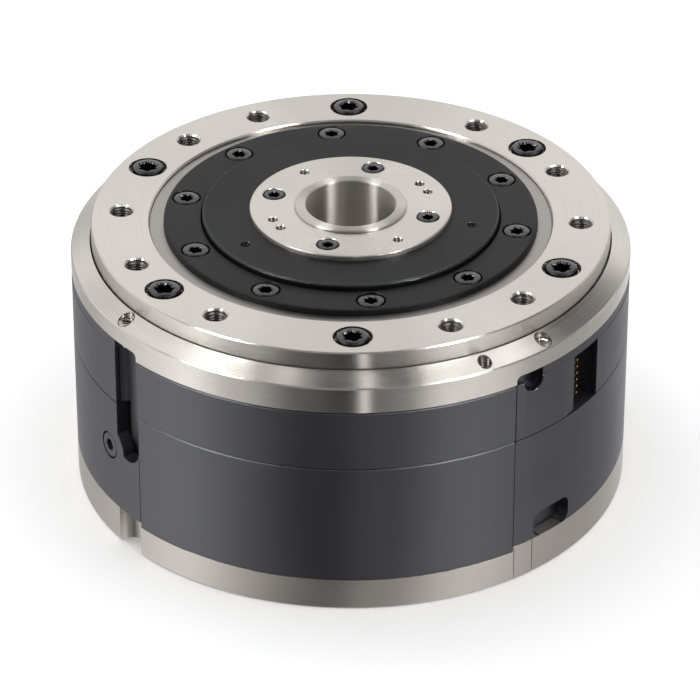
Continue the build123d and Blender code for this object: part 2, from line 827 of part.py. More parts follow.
# Wave generator: an oval plug on the input shaft inside a thin ball bearing that takes its shape
race_outer = rim_bore - 2 * fit
race_inner = race_outer - 2 * race_thickness - 2 * (ball_radius + ball_play)
wave_z = gear_bottom + (gear_width - wave_width) / 2


def oval_ring(outer, inner):
    """An oval race of even thickness."""
    with BuildPart() as piece:
        with BuildSketch(Plane.XY.offset(wave_z)):
            oval(outer)
            Ellipse(inner + deflection, inner - deflection, mode=Mode.SUBTRACT)
        extrude(amount=wave_width)
    return piece.part


with BuildPart() as wave_outer_race:
    add(oval_ring(race_outer, race_outer - race_thickness))

with BuildPart() as wave_inner_race:
    add(oval_ring(race_inner + race_thickness, race_inner))

with BuildPart() as wave_balls:
    ball_track = (race_outer + race_inner) / 2
    with Locations(*[
        ((ball_track + deflection) * cos(2 * pi * i / ball_count),
         (ball_track - deflection) * sin(2 * pi * i / ball_count), wave_z + wave_width / 2)
        for i in range(ball_count)
    ]):
        Sphere(ball_radius)

with BuildPart() as wave_generator_plug:
    with BuildSketch(Plane.XY.offset(wave_z)):
        oval(race_inner - fit)
        Circle(input_radius + fit, mode=Mode.SUBTRACT)
    extrude(amount=wave_width)

with BuildPart() as wave_generator_nut:
    revolve(tube_section(input_radius + fit, nut_radius, wave_z + wave_width,
                         wave_z + wave_width + nut_height), axis=Axis.Z)

# Output face: clamp ring over the flexspline, centre cover trapped under it, hub and hollow shaft
with BuildPart() as clamp_ring:
    revolve(section(
        (cover_rim_radius + 2 * fit, clamp_bottom), (clamp_radius, clamp_bottom),
        (clamp_radius, clamp_top - edge_break), (clamp_radius - edge_break, clamp_top),
        (clamp_bore + edge_break, clamp_top), (clamp_bore, clamp_top - edge_break),
        (clamp_bore, cover_rim_bottom + cover_rim_thickness + 2 * fit),
        (cover_rim_radius + 2 * fit, cover_rim_bottom + cover_rim_thickness + 2 * fit),
    ), axis=Axis.Z)
    with Locations(Plane.XY.offset(clamp_top)):
        with PolarLocations(clamp_pitch, clamp_screw_count, start_angle=clamp_phase):
            CounterBoreHole(m4[0] + fit, m4[4], m4[2] + fit)

with BuildPart() as clamp_ring_screws:
    with Locations(Plane.XY.offset(clamp_top - fit)):
        with PolarLocations(clamp_pitch, clamp_screw_count, start_angle=clamp_phase):
            add(cap_screw(m4, clamp_thickness))

with BuildPart() as centre_cover:
    revolve(section(
        (tube_radius + fit, cover_bottom), (tooth_root - flexspline_wall - running_gap, cover_bottom),
        (tooth_root - flexspline_wall - running_gap, cover_rim_bottom),
        (cover_rim_radius, cover_rim_bottom),
        (cover_rim_radius, cover_rim_bottom + cover_rim_thickness),
        (cover_radius, cover_rim_bottom + cover_rim_thickness),
        (cover_radius, cover_top - edge_break), (cover_radius - edge_break, cover_top),
        (hub_radius + fit, cover_top), (hub_radius + fit, hub_seat), (tube_radius + fit, hub_seat),
    ), axis=Axis.Z)
    with around(jack_pitch, jack_angles, cover_top):
        Hole(jack_radius, depth=(cover_top - cover_bottom) / 2)
    with Locations(Plane.XY.offset(hub_seat)):
        with PolarLocations(hub_pitch, hub_screw_count, start_angle=hub_phase):
            Hole(m3[0] + fit, depth=m3[2])

with BuildPart() as hub_flange:
    revolve(section(
        (tube_radius + fit, hub_seat), (hub_radius, hub_seat), (hub_radius, hub_top - edge_break),
        (hub_radius - edge_break, hub_top), (tube_radius + fit, hub_top),
    ), axis=Axis.Z)
    with Locations(Plane.XY.offset(hub_top)):
        with PolarLocations(hub_pitch, hub_screw_count, start_angle=hub_phase):
            CounterBoreHole(m3[0] + fit, m3[4], m3[2] + fit)
    with around(hub_hole_pitch, hub_holes_at, hub_top):
        Hole(hub_hole_radius, depth=hub_thickness)

with BuildPart() as hub_screws:
    with Locations(Plane.XY.offset(hub_top - fit)):
        with PolarLocations(hub_pitch, hub_screw_count, start_angle=hub_phase):
            add(cap_screw(m3, hub_thickness - m3[0]))

with BuildPart() as hollow_shaft:
    revolve(section(
        (bore_radius, shaft_end_recess), (tube_radius, shaft_end_recess), (tube_radius, hub_top),
        (collar_radius, hub_top), (collar_radius, shaft_top - edge_break),
        (collar_radius - edge_break, shaft_top), (bore_radius + edge_break, shaft_top),
        (bore_radius, shaft_top - edge_break),
    ), axis=Axis.Z)

# Input shaft with its two bearings and the rotor
input_bottom = input_disc_bottom - running_gap

with BuildPart() as input_shaft:
    revolve(tube_section(input_bore, input_radius, input_bottom, wave_z + wave_width + nut_height),
            axis=Axis.Z)

with BuildPart() as input_bearing_outer_rings:
    for bottom in (front_bearing_z, rear_bearing_z):
        revolve(tube_section(input_bearing_radius - bearing_ring_thickness, input_bearing_radius,
                             bottom, bottom + input_bearing_width), axis=Axis.Z)

with BuildPart() as input_bearing_inner_rings:
    for bottom in (front_bearing_z, rear_bearing_z):
        revolve(tube_section(input_radius + fit, input_radius + bearing_ring_thickness,
                             bottom, bottom + input_bearing_width), axis=Axis.Z)

with BuildPart() as rear_bearing_plate:
    revolve(section(
        (input_bearing_radius - bearing_lip, rear_plate_bottom), (motor_bore - fit, rear_plate_bottom),
        (motor_bore - fit, rear_plate_top), (input_bearing_radius + fit, rear_plate_top),
        (input_bearing_radius + fit, rear_bearing_z),
        (input_bearing_radius - bearing_lip, rear_bearing_z),
    ), axis=Axis.Z)

with BuildPart() as rotor_hub:
    revolve(section(
        (input_radius + fit, rotor_web_z), (rotor_bore, rotor_web_z),
        (rotor_bore, core_bottom - rotor_overhang), (magnet_seat, core_bottom - rotor_overhang),
        (magnet_seat, rotor_top), (input_radius + fit, rotor_top),
    ), axis=Axis.Z)

with BuildPart() as rotor_magnets:
    half_arc = magnet_arc / 2
    for i in range(pole_count):
        add(sector(magnet_seat + fit, magnet_radius, core_middle - magnet_height / 2,
                   core_middle + magnet_height / 2,
                   360 * i / pole_count - half_arc, 360 * i / pole_count + half_arc))


# Stator: one lamination stack with open slots, and a coil round every tooth
def turned_by(points, angle):
    c, s = cos(radians(angle)), sin(radians(angle))
    return [(x * c - y * s, x * s + y * c) for x, y in points]


slot_half = (
    pi * slot_bottom / slot_count - tooth_half, pi * (core_bore + shoe_thickness) / slot_count
    - tooth_half)
slot_points = (
    (core_bore - overcut, -slot_opening / 2), (core_bore + shoe_thickness / 2, -slot_opening / 2),
    (core_bore + shoe_thickness, -slot_half[1]), (slot_bottom, -slot_half[0]),
    (slot_bottom, slot_half[0]), (core_bore + shoe_thickness, slot_half[1]),
    (core_bore + shoe_thickness / 2, slot_opening / 2), (core_bore - overcut, slot_opening / 2),
)

with BuildPart() as stator_core:
    with BuildSketch(Plane.XY.offset(core_bottom)):
        Circle(motor_bore - fit)
        Circle(core_bore, mode=Mode.SUBTRACT)
        for i in range(slot_count):
            with BuildLine():
                Polyline(*turned_by(slot_points, 360 * (i + 0.5) / slot_count), close=True)
            make_face(mode=Mode.SUBTRACT)
    extrude(amount=core_height)

with BuildPart() as stator_windings:
    coil_start = core_bore + shoe_thickness + coil_gap
    coil_length = slot_bottom - coil_start - coil_gap
    with Locations(*[
        Location((0, 0, 0), (0, 0, 360 * i / slot_count))
        * Location((coil_start + coil_length / 2, 0, core_middle))
        for i in range(slot_count)
    ]):
        Box(coil_length, 2 * coil_half, core_height + 2 * coil_overhang)
        Box(coil_length + 1, 2 * (tooth_half + coil_gap), core_height + 2 * coil_gap,
            mode=Mode.SUBTRACT)

# Holding brake: coil body on the rear plate, sliding armature, disc on the shaft and end plate
with BuildPart() as brake_body:
    revolve(section(
        (brake_bore, rear_plate_top), (brake_radius, rear_plate_top), (brake_radius, brake_top),
        (coil_outer + fit, brake_top), (coil_outer + fit, rear_plate_top + brake_floor - fit),
        (coil_inner - fit, rear_plate_top + brake_floor - fit), (coil_inner - fit, brake_top),
        (brake_bore, brake_top),
    ), axis=Axis.Z)

with BuildPart() as brake_coil:
    revolve(tube_section(coil_inner, coil_outer, rear_plate_top + brake_floor, brake_top - fit),
            axis=Axis.Z)

with BuildPart() as brake_armature:
    revolve(tube_section(brake_bore, brake_radius, armature_z, disc_z), axis=Axis.Z)
    with Locations(Plane.XY.offset(disc_z)):
        with PolarLocations(post_pitch, post_count):
            Hole(post_radius + 2 * fit)

with BuildPart() as brake_disc:
    revolve(tube_section(input_radius + fit, disc_radius, disc_z, disc_z + disc_thickness),
            axis=Axis.Z)

with BuildPart() as brake_end_plate:
    revolve(tube_section(brake_bore, brake_radius, end_plate_z, end_plate_z + end_plate_thickness),
            axis=Axis.Z)
    with Locations(Plane.XY.offset(brake_top)):
        with PolarLocations(post_pitch, post_count):
            Cylinder(post_radius, end_plate_z - brake_top,
                     align=(Align.CENTER, Align.CENTER, Align.MIN))

# Drive board under the rear plate, read from both sides of its bore by the encoder discs
with BuildPart() as drive_board:
    revolve(tube_section(board_bore, board_radius, board_bottom, board_top), axis=Axis.Z)

with BuildPart() as board_standoffs:
    with Locations(Plane.XY.offset(board_top)):
        with PolarLocations(standoff_pitch, standoff_count, start_angle=180 / standoff_count):
            Cylinder(standoff_radius, rear_plate_bottom - board_top,
                     align=(Align.CENTER, Align.CENTER, Align.MIN))

with BuildPart() as board_components:
    chip_pitch = (input_disc_radius + board_radius) / 2
    for angle, length, width, share in (
        (0, 12, 12, 1.0), (22, 8, 8, 0.5), (75, 14, 8, 0.9), (110, 8, 8, 0.45),
        (155, 12, 12, 1.0), (190, 6, 12, 0.75), (248, 10, 10, 0.4), (285, 9, 16, 0.95),
    ):
        with around(chip_pitch, (angle,), board_top):
            Box(length, width, chip_space * share, align=(Align.CENTER, Align.CENTER, Align.MIN))
    with around(input_disc_radius - sensor_inset, (95,), board_top):
        Box(7, 9, input_disc_bottom - board_top - sensor_clearance,
            align=(Align.CENTER, Align.CENTER, Align.MIN))

with BuildPart() as input_encoder_disc:
    revolve(tube_section(input_radius + fit, input_disc_radius, input_disc_bottom,
                         input_disc_bottom + disc_sheet), axis=Axis.Z)

with BuildPart() as output_encoder_disc:
    revolve(tube_section(tube_radius + fit, output_disc_radius, output_disc_bottom,
                         output_disc_bottom + disc_sheet), axis=Axis.Z)

# Connector in the window: an insulating block with two rows of pins that point outwards. It stands
# on the port's side of the window, so that a plug's latch finds room beside it
connector_x = body_radius - window_depth
connector_y = connector_play + (connector_width - window_width) / 2
connector_z = (core_z + shell_top) / 2

with BuildPart() as connector_body:
    with Locations((connector_x, connector_y, connector_z)):
        Box(connector_thickness, connector_width, connector_length,
            align=(Align.MIN, Align.CENTER, Align.CENTER))

with BuildPart() as connector_pins:
    with Locations(Plane(origin=(connector_x + connector_thickness, connector_y, connector_z),
                         x_dir=(0, 1, 0), z_dir=(1, 0, 0))):
        with GridLocations(pin_pitch, pin_pitch, 2, pin_rows):
            Box(pin_size, pin_size, pin_stand, align=(Align.CENTER, Align.CENTER, Align.MIN))

pieces = {
    "base_ring": base_ring, "base_insert": base_insert, "base_screws": base_screws,
    "rear_cover": rear_cover, "rear_cover_screws": rear_cover_screws,
    "motor_housing": motor_housing, "lower_housing": lower_housing,
    "lower_front_cover": lower_front_cover, "clamp_screw": clamp_screw,
    "upper_housing": upper_housing, "port_cover": port_cover,
    "upper_front_cover": upper_front_cover,
    "bearing_housing": bearing_housing, "bearing_housing_screws": bearing_housing_screws,
    "retaining_ring": retaining_ring, "retaining_ring_screws": retaining_ring_screws,
    "output_seal": output_seal, "bearing_outer_ring": bearing_outer_ring,
    "bearing_inner_ring": bearing_inner_ring, "bearing_rollers": bearing_rollers,
    "roller_spacers": roller_spacers, "output_flange": output_flange,
    "output_flange_screws": output_flange_screws, "circular_spline": circular_spline,
    "circular_spline_screws": circular_spline_screws, "flexspline": flexspline,
    "wave_outer_race": wave_outer_race, "wave_inner_race": wave_inner_race,
    "wave_balls": wave_balls, "wave_generator_plug": wave_generator_plug,
    "wave_generator_nut": wave_generator_nut, "clamp_ring": clamp_ring,
    "clamp_ring_screws": clamp_ring_screws, "centre_cover": centre_cover,
    "hub_flange": hub_flange, "hub_screws": hub_screws, "hollow_shaft": hollow_shaft,
    "input_shaft": input_shaft, "input_bearing_outer_rings": input_bearing_outer_rings,
    "input_bearing_inner_rings": input_bearing_inner_rings,
    "rear_bearing_plate": rear_bearing_plate, "rotor_hub": rotor_hub,
    "rotor_magnets": rotor_magnets, "stator_core": stator_core,
    "stator_windings": stator_windings, "brake_body": brake_body, "brake_coil": brake_coil,
    "brake_armature": brake_armature, "brake_disc": brake_disc,
    "brake_end_plate": brake_end_plate, "drive_board": drive_board,
    "board_standoffs": board_standoffs, "board_components": board_components,
    "input_encoder_disc": input_encoder_disc, "output_encoder_disc": output_encoder_disc,
    "connector_body": connector_body, "connector_pins": connector_pins,
}

os.makedirs("parts", exist_ok=True)
for name, piece in pieces.items():
    piece.part.label = name
    export_step(piece.part, f"parts/{name}.step")
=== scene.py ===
"""Finishes, threads, screws, light and camera of the hollow-shaft rotary actuator."""
from math import cos, pi, radians, sin, tau

import bmesh
import bpy
from mathutils import Euler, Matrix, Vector


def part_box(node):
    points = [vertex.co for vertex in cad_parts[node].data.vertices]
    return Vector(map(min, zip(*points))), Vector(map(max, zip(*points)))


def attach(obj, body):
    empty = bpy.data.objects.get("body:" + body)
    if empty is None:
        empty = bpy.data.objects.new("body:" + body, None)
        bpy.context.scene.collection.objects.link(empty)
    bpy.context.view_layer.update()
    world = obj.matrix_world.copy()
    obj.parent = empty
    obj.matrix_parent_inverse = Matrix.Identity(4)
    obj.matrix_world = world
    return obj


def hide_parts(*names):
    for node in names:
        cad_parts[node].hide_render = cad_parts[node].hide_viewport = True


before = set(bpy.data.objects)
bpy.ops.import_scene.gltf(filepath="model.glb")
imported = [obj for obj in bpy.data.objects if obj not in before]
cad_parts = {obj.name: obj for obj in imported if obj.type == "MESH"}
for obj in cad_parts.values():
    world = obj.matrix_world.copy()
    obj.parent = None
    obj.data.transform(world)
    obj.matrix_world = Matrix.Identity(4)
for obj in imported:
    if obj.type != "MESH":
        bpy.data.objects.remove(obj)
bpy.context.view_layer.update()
mm = 0.001

# Sizes and places that the frame gives: the faces on which screws and tapped holes lie
flange_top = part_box("output_flange")[1].z
cover_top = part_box("centre_cover")[1].z
hub_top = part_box("hub_flange")[1].z
cone_screw_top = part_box("retaining_ring_screws")[1].z
cone_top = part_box("retaining_ring")[1].z
body_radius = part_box("base_ring")[1].y

# Screw and hole patterns: pitch radius, and angles in degrees from +X. The output face repeats after
# half a turn
flange_pitch = 61.5 * mm
flange_screw_angles = (8.5, 72.5, 125, 188.5, 252.5, 305)
flange_tap_angles = (31.5, 58.5, 90, 149.2, 171, 211.5, 238.5, 270, 329.2, 351)
clamp_pitch = 45 * mm
clamp_screw_angles = [23.2 + 36 * i for i in range(10)]
hub_pitch = 21.4 * mm
hub_screw_angles = [18.1 + 90 * i for i in range(4)]
hub_hole_pitch = 22 * mm
hub_hole_angles = (54.5, 67, 159, 234.5, 247, 339)
jack_pitch = 33.3 * mm
jack_angles = (20.4, 248.1)
cone_pitch = 72.3 * mm
cone_screw_angles = (70.8, 167.8, 250.8, 347.8)
cone_tap_angles = (152.8, 332.8)
base_pitch = 67 * mm
base_tap_angles = [45 * i for i in range(8)]
base_screw_angles = [22.5 + 45 * i for i in range(8)]
# How far the cone's screws stand above the solids that they replace
cone_screw_rise = 0.45 * mm
# The screw in the side of the lower housing: its place, and how far its head is sunk
side_screw_angle = 245.9
side_screw_height = 27.9 * mm
side_screw_sink = 0.05 * mm

# Finishes: how often tool marks waver and patches repeat in a metre, the range in which the sum of
# two noises mostly lies, and how far the roughness of grained stuff varies
waver_scale = 30
metal_patch_scale = 45
noise_low = 0.6
noise_high = 1.4
grained_patch_scale = 60
grained_rough_spread = 0.08

# Broken edges: the steepest turn that is still shaded smooth, the least that is cut, in degrees, and
# how close points are joined
smooth_angle = 24
cut_angle = 35
join_gap = 0.001 * mm


def hex_colour(text):
    """An sRGB hex colour as the linear values that a shader takes."""
    channels = [int(text[i:i + 2], 16) / 255 for i in (1, 3, 5)]
    return [c / 12.92 if c <= 0.04045 else ((c + 0.055) / 1.055) ** 2.4 for c in channels] + [1]


def add(tree, kind, values=None, **settings):
    """Adds a node. Settings are its properties; values are its sockets, linked where one is a socket."""
    node = tree.nodes.new(kind)
    for key, value in settings.items():
        setattr(node, key, value)
    for key, value in (values or {}).items():
        if isinstance(value, bpy.types.NodeSocket):
            tree.links.new(value, node.inputs[key])
        else:
            node.inputs[key].default_value = value
    return node


def new_material(name):
    """An empty node material, with its shader and its object coordinates."""
    material = bpy.data.materials.new(name)
    material.use_nodes = True
    tree = material.node_tree
    tree.nodes.clear()
    shader = add(tree, "ShaderNodeBsdfPrincipled")
    add(tree, "ShaderNodeOutputMaterial", {"Surface": shader.outputs[0]})
    place = add(tree, "ShaderNodeTexCoord").outputs["Object"]
    return material, tree, shader, place


def machined(name, colour, roughness, anisotropy=0.0, marks=0.35, depth=0.004, tint=0.06,
             rough_spread=0.06):
    """Turned, ground or drawn metal. Tool marks run round the axis, spaced by marks in millimetres;
    real ones are about 0.1 mm apart, and are drawn coarser here so that they show. Broad patches of
    slightly other tone come from handling and coolant."""
    material, tree, shader, place = new_material(name)
    shader.inputs["Metallic"].default_value = 1
    shader.inputs["Anisotropic"].default_value = anisotropy
    shader.inputs["Anisotropic Rotation"].default_value = 0.25
    parts = add(tree, "ShaderNodeSeparateXYZ", {0: place})
    flat = add(tree, "ShaderNodeCombineXYZ", {0: parts.outputs[0], 1: parts.outputs[1]})
    radius = add(tree, "ShaderNodeVectorMath", {0: flat.outputs[0]}, operation="LENGTH")
    along = add(tree, "ShaderNodeMath", {0: radius.outputs["Value"], 1: parts.outputs[2]},
                operation="ADD")
    lines_across = add(tree, "ShaderNodeMath", {0: along.outputs[0], 1: 1 / (marks * mm)},
                       operation="MULTIPLY")
    slow = add(tree, "ShaderNodeVectorMath", {0: flat.outputs[0], 3: waver_scale}, operation="SCALE")
    slow_parts = add(tree, "ShaderNodeSeparateXYZ", {0: slow.outputs[0]})
    ring_place = add(tree, "ShaderNodeCombineXYZ", {
        0: slow_parts.outputs[0], 1: slow_parts.outputs[1], 2: lines_across.outputs[0]})
    rings = add(tree, "ShaderNodeTexNoise", {
        "Vector": ring_place.outputs[0], "Scale": 1, "Detail": 3, "Roughness": 0.6})
    patches = add(tree, "ShaderNodeTexNoise", {
        "Vector": place, "Scale": metal_patch_scale, "Detail": 3})
    both = add(tree, "ShaderNodeMath", {0: rings.outputs[0], 1: patches.outputs[0]}, operation="ADD")
    linear = hex_colour(colour)
    tone = add(tree, "ShaderNodeMapRange", {
        "Value": both.outputs[0], "From Min": noise_low, "From Max": noise_high,
        "To Min": 1 - tint, "To Max": 1 + tint})
    shade = add(tree, "ShaderNodeVectorMath", {0: linear[:3], 3: tone.outputs[0]}, operation="SCALE")
    tree.links.new(shade.outputs[0], shader.inputs["Base Color"])
    rough = add(tree, "ShaderNodeMapRange", {
        "Value": both.outputs[0], "From Min": noise_low, "From Max": noise_high,
        "To Min": roughness - rough_spread, "To Max": roughness + rough_spread})
    tree.links.new(rough.outputs[0], shader.inputs["Roughness"])
    bump = add(tree, "ShaderNodeBump", {
        "Height": rings.outputs[0], "Strength": 1, "Distance": depth * mm})
    tree.links.new(bump.outputs[0], shader.inputs["Normal"])
    if anisotropy:
        tangent = add(tree, "ShaderNodeTangent", direction_type="RADIAL", axis="Z")
        tree.links.new(tangent.outputs[0], shader.inputs["Tangent"])
    return material


def grained(name, colour, roughness, grain=0.4, depth=0.01, tint=0.12, metallic=0.0, other=None,
            film=0.0):
    """Moulded, coated, sintered or woven stuff: an even fine grain with a little variation of tone,
    and over it a film of oil if one is given."""
    material, tree, shader, place = new_material(name)
    shader.inputs["Metallic"].default_value = metallic
    shader.inputs["Coat Weight"].default_value = film
    shader.inputs["Coat Roughness"].default_value = 0.12
    grain_noise = add(tree, "ShaderNodeTexNoise", {
        "Vector": place, "Scale": 1 / (grain * mm), "Detail": 4, "Roughness": 0.65})
    patches = add(tree, "ShaderNodeTexNoise", {
        "Vector": place, "Scale": grained_patch_scale, "Detail": 2})
    linear = hex_colour(colour)
    second = hex_colour(other) if other else [c * (1 - tint) for c in linear[:3]] + [1]
    ramp = add(tree, "ShaderNodeValToRGB", {0: patches.outputs[0]})
    ramp.color_ramp.elements[0].position = 0.35
    ramp.color_ramp.elements[1].position = 0.65
    ramp.color_ramp.elements[0].color = linear
    ramp.color_ramp.elements[1].color = second
    tree.links.new(ramp.outputs[0], shader.inputs["Base Color"])
    rough = add(tree, "ShaderNodeMapRange", {
        "Value": grain_noise.outputs[0], "To Min": roughness - grained_rough_spread,
        "To Max": roughness + grained_rough_spread})
    tree.links.new(rough.outputs[0], shader.inputs["Roughness"])
    bump = add(tree, "ShaderNodeBump", {
        "Height": grain_noise.outputs[0], "Strength": 1, "Distance": depth * mm})
    tree.links.new(bump.outputs[0], shader.inputs["Normal"])
    return material


def banded(name, colour, other, roughness, spacing, metallic=1.0, depth=0.02):
    """Layers along the axis, such as stacked sheets or the turns of a winding."""
    material, tree, shader, place = new_material(name)
    shader.inputs["Metallic"].default_value = metallic
    parts = add(tree, "ShaderNodeSeparateXYZ", {0: place})
    phase = add(tree, "ShaderNodeMath", {0: parts.outputs[2], 1: tau / (spacing * mm)},
                operation="MULTIPLY")
    wave = add(tree, "ShaderNodeMath", {0: phase.outputs[0]}, operation="SINE")
    ramp = add(tree, "ShaderNodeValToRGB", {
        0: add(tree, "ShaderNodeMapRange", {"Value": wave.outputs[0], "From Min": -1}).outputs[0]})
    ramp.color_ramp.elements[0].color = hex_colour(other)
    ramp.color_ramp.elements[1].color = hex_colour(colour)
    ramp.color_ramp.elements[0].position = 0.1
    ramp.color_ramp.elements[1].position = 0.5
    tree.links.new(ramp.outputs[0], shader.inputs["Base Color"])
    shader.inputs["Roughness"].default_value = roughness
    bump = add(tree, "ShaderNodeBump", {"Height": wave.outputs[0], "Strength": 1, "Distance": depth * mm})
    tree.links.new(bump.outputs[0], shader.inputs["Normal"])
    return material


# Stainless steel, turned on a lathe: fine rings that stretch a highlight across them
turned_steel = machined("turned stainless steel", "#d2cdc7", 0.23, anisotropy=0.95, marks=0.4,
                        rough_spread=0.04)
# The same steel, finer turned, on the hub that cables pass
bright_steel = machined("fine turned stainless steel", "#cfcac4", 0.27, anisotropy=0.85, marks=0.3)
# The bore is honed, so that cables slide: narrow bright bands along it
honed_steel = machined("honed stainless steel", "#cfcac4", 0.38, anisotropy=1.0, marks=0.25,
                       rough_spread=0.02, depth=0.0006)
# Base steel, ground: duller, with the same warm grey
ground_steel = machined("ground stainless steel", "#c4beb8", 0.4, anisotropy=0.55, marks=0.35)
# Hard anodised aluminium, dyed dark: satin, with the turning marks still faintly under it
dark_anodised = machined("dark anodised aluminium", "#636367", 0.42, anisotropy=0.45, marks=0.5,
                         depth=0.0025, tint=0.05)
# Black anodised aluminium of the face plates: flatter and a little more even
black_anodised = machined("black anodised aluminium", "#343435", 0.46, anisotropy=0.2, marks=0.45,
                          depth=0.002, tint=0.04)
# Aluminium of inner carriers, turned and left bare: pale, slightly blue
plain_aluminium = machined("turned aluminium", "#c9c9cb", 0.36, anisotropy=0.4, marks=0.4)
# Where the cover's edges were cut after anodising, the bare metal shines
cut_edge = machined("bare cut aluminium edge", "#b4b4b6", 0.25, anisotropy=0.5, marks=0.3)
# The bearing's inner ring shows as a duller ledge inside the bright flange
dull_steel = machined("hardened bearing steel", "#a5a19d", 0.34, anisotropy=0.7, marks=0.4)
# Rings, rollers and balls, ground: the brightest and smoothest steel
bearing_steel = machined("ground bearing steel", "#c6c6c8", 0.22, anisotropy=0.4, marks=0.3)
# Toothed and shaft pieces, cut from alloy steel: a darker, neutral grey
gear_steel = machined("machined alloy steel", "#a3a2a1", 0.36, anisotropy=0.3, marks=0.35)
# Black oxide on alloy steel: nearly black, slightly brown, oily gloss on the edges
black_oxide = grained("oiled black oxide on alloy steel", "#3d3c3c", 0.26, grain=0.25, depth=0.002,
                      metallic=1.0, film=0.7)
# Stainless screws: pale, with small soft highlights
bright_screw_steel = grained("bright screw steel", "#bcb7b1", 0.26, grain=0.3, depth=0.002,
                             metallic=1.0)
# Inside the tapped holes little light gets in. The cut flanks are given a colour much darker than the
# steel's own, as painted shade
thread_steel_painted_shade = grained("cut thread in stainless steel, darkened as painted shade", "#6f6a66", 0.28, grain=0.3, depth=0.003,
                       metallic=1.0)
# Contacts: a thin plating of warm yellow
gold = grained("gold plated contact", "#d9a860", 0.22, grain=0.2, depth=0.001, metallic=1.0)
# Magnets: plated with nickel, faintly yellow
nickel = grained("nickel plated magnet", "#b9b6ae", 0.25, grain=0.5, depth=0.004, metallic=1.0)
# The brake's magnet path, phosphated: matt dark grey
soft_iron = grained("phosphated soft iron", "#5b5b5e", 0.55, grain=0.3, depth=0.01, metallic=0.9)
# The brake's lining, pressed: rough and brown with paler fibres
friction = grained("friction lining", "#3a332b", 0.8, grain=0.3, depth=0.03, other="#5a4c3a")
# The lip seal: matt black rubber
nitrile = grained("black nitrile rubber", "#161616", 0.6, grain=0.4, depth=0.01)
# Spacers between the rollers: cream, half matt
nylon = grained("natural nylon", "#d8ccae", 0.5, grain=0.5, depth=0.01)
# Connector and chips: black with the fine grain of the mould
moulded_black = grained("moulded black plastic", "#0d0d0e", 0.5, grain=0.3, depth=0.006)
# The drive board: green lacquer over glass and copper
circuit_board = grained("green circuit board", "#0f4423", 0.35, grain=0.6, depth=0.006, other="#145a2e")
# Encoder rings: dark bound ferrite, nearly smooth
encoder_scale = grained("magnetic ring on its carrier", "#2b2b2e", 0.35, grain=0.5, depth=0.003)
# The stator's core: sheets of 0.5 mm, their cut edges darker between them
sheet_stack = banded("stacked sheet steel", "#77777a", "#3c3c3e", 0.45, 0.5)
# Windings: wire of 0.8 mm with its clear enamel. The dark colour between the turns is painted shade in
# the grooves between the round wires
copper_wire = banded("enamelled copper wire", "#b4622a", "#4c230c", 0.35, 0.8, metallic=0.8)

finishes = {
    turned_steel: ("output_flange", "retaining_ring"),
    dull_steel: ("bearing_inner_ring",),
    bright_steel: ("hub_flange",),
    honed_steel: ("hollow_shaft",),
    ground_steel: ("base_ring", "base_insert"),
    dark_anodised: ("lower_housing", "lower_front_cover", "upper_housing", "port_cover",
                    "upper_front_cover", "bearing_housing", "motor_housing"),
    black_anodised: ("clamp_ring", "centre_cover", "rear_cover"),
    plain_aluminium: ("rear_bearing_plate", "rotor_hub", "board_standoffs"),
    bearing_steel: ("bearing_outer_ring", "bearing_rollers",
                    "input_bearing_outer_rings", "input_bearing_inner_rings", "wave_outer_race",
                    "wave_inner_race", "wave_balls"),
    gear_steel: ("circular_spline", "flexspline", "wave_generator_plug", "wave_generator_nut",
                 "input_shaft"),
    bright_screw_steel: ("bearing_housing_screws", "circular_spline_screws", "rear_cover_screws"),
    gold: ("connector_pins",),
    nickel: ("rotor_magnets",),
    soft_iron: ("brake_body", "brake_armature", "brake_end_plate"),
    friction: ("brake_disc",),
    nitrile: ("output_seal",),
    nylon: ("roller_spacers",),
    moulded_black: ("connector_body", "board_components"),
    circuit_board: ("drive_board",),
    encoder_scale: ("input_encoder_disc", "output_encoder_disc"),
    sheet_stack: ("stator_core",),
    copper_wire: ("stator_windings", "brake_coil"),
}
for material, nodes in finishes.items():
    for node in nodes:
        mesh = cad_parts[node].data
        mesh.materials.clear()
        mesh.materials.append(material)


def smooth_tree(sharp_angle):
    """Shades a shape smooth, apart from edges that turn by more than the angle in degrees."""
    tree = bpy.data.node_groups.new("smooth but for sharp edges", "GeometryNodeTree")
    tree.interface.new_socket("Geometry", in_out="INPUT", socket_type="NodeSocketGeometry")
    tree.interface.new_socket("Geometry", in_out="OUTPUT", socket_type="NodeSocketGeometry")
    shape = add(tree, "NodeGroupInput").outputs[0]
    add(tree, "NodeGroupOutput", {0: shade_smooth(tree, shape, sharp_angle)})
    return tree


def shade_smooth(tree, shape, sharp_angle):
    """Adds the nodes that shade a shape smooth but keep its sharp edges."""
    smooth = add(tree, "GeometryNodeSetShadeSmooth", {"Geometry": shape})
    steep = add(tree, "FunctionNodeCompare", {
        0: add(tree, "GeometryNodeInputMeshEdgeAngle").outputs[0], 1: radians(sharp_angle)},
        data_type="FLOAT", operation="GREATER_THAN")
    return add(tree, "GeometryNodeSetShadeSmooth", {
        "Geometry": smooth.outputs[0], "Selection": steep.outputs[0], "Shade Smooth": False},
        domain="EDGE").outputs[0]


def break_edges(node, width, smoother, bare=None):
    """Takes the sharp edges off a piece of the frame, as a deburring tool does. Bare is the finish of the
    cut, where it is another."""
    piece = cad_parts[node]
    weld = piece.modifiers.new("joined", "WELD")
    weld.merge_threshold = join_gap
    edges = piece.modifiers.new("broken edges", "BEVEL")
    edges.width = width
    edges.segments = 1
    edges.limit_method = "ANGLE"
    edges.angle_limit = radians(cut_angle)
    edges.miter_outer = "MITER_ARC"
    if bare:
        piece.data.materials.append(bare)
        edges.material = 1
    shading = piece.modifiers.new("shading", "NODES")
    shading.node_group = smoother
    flats = piece.modifiers.new("flat faces stay flat", "WEIGHTED_NORMAL")
    flats.keep_sharp = True


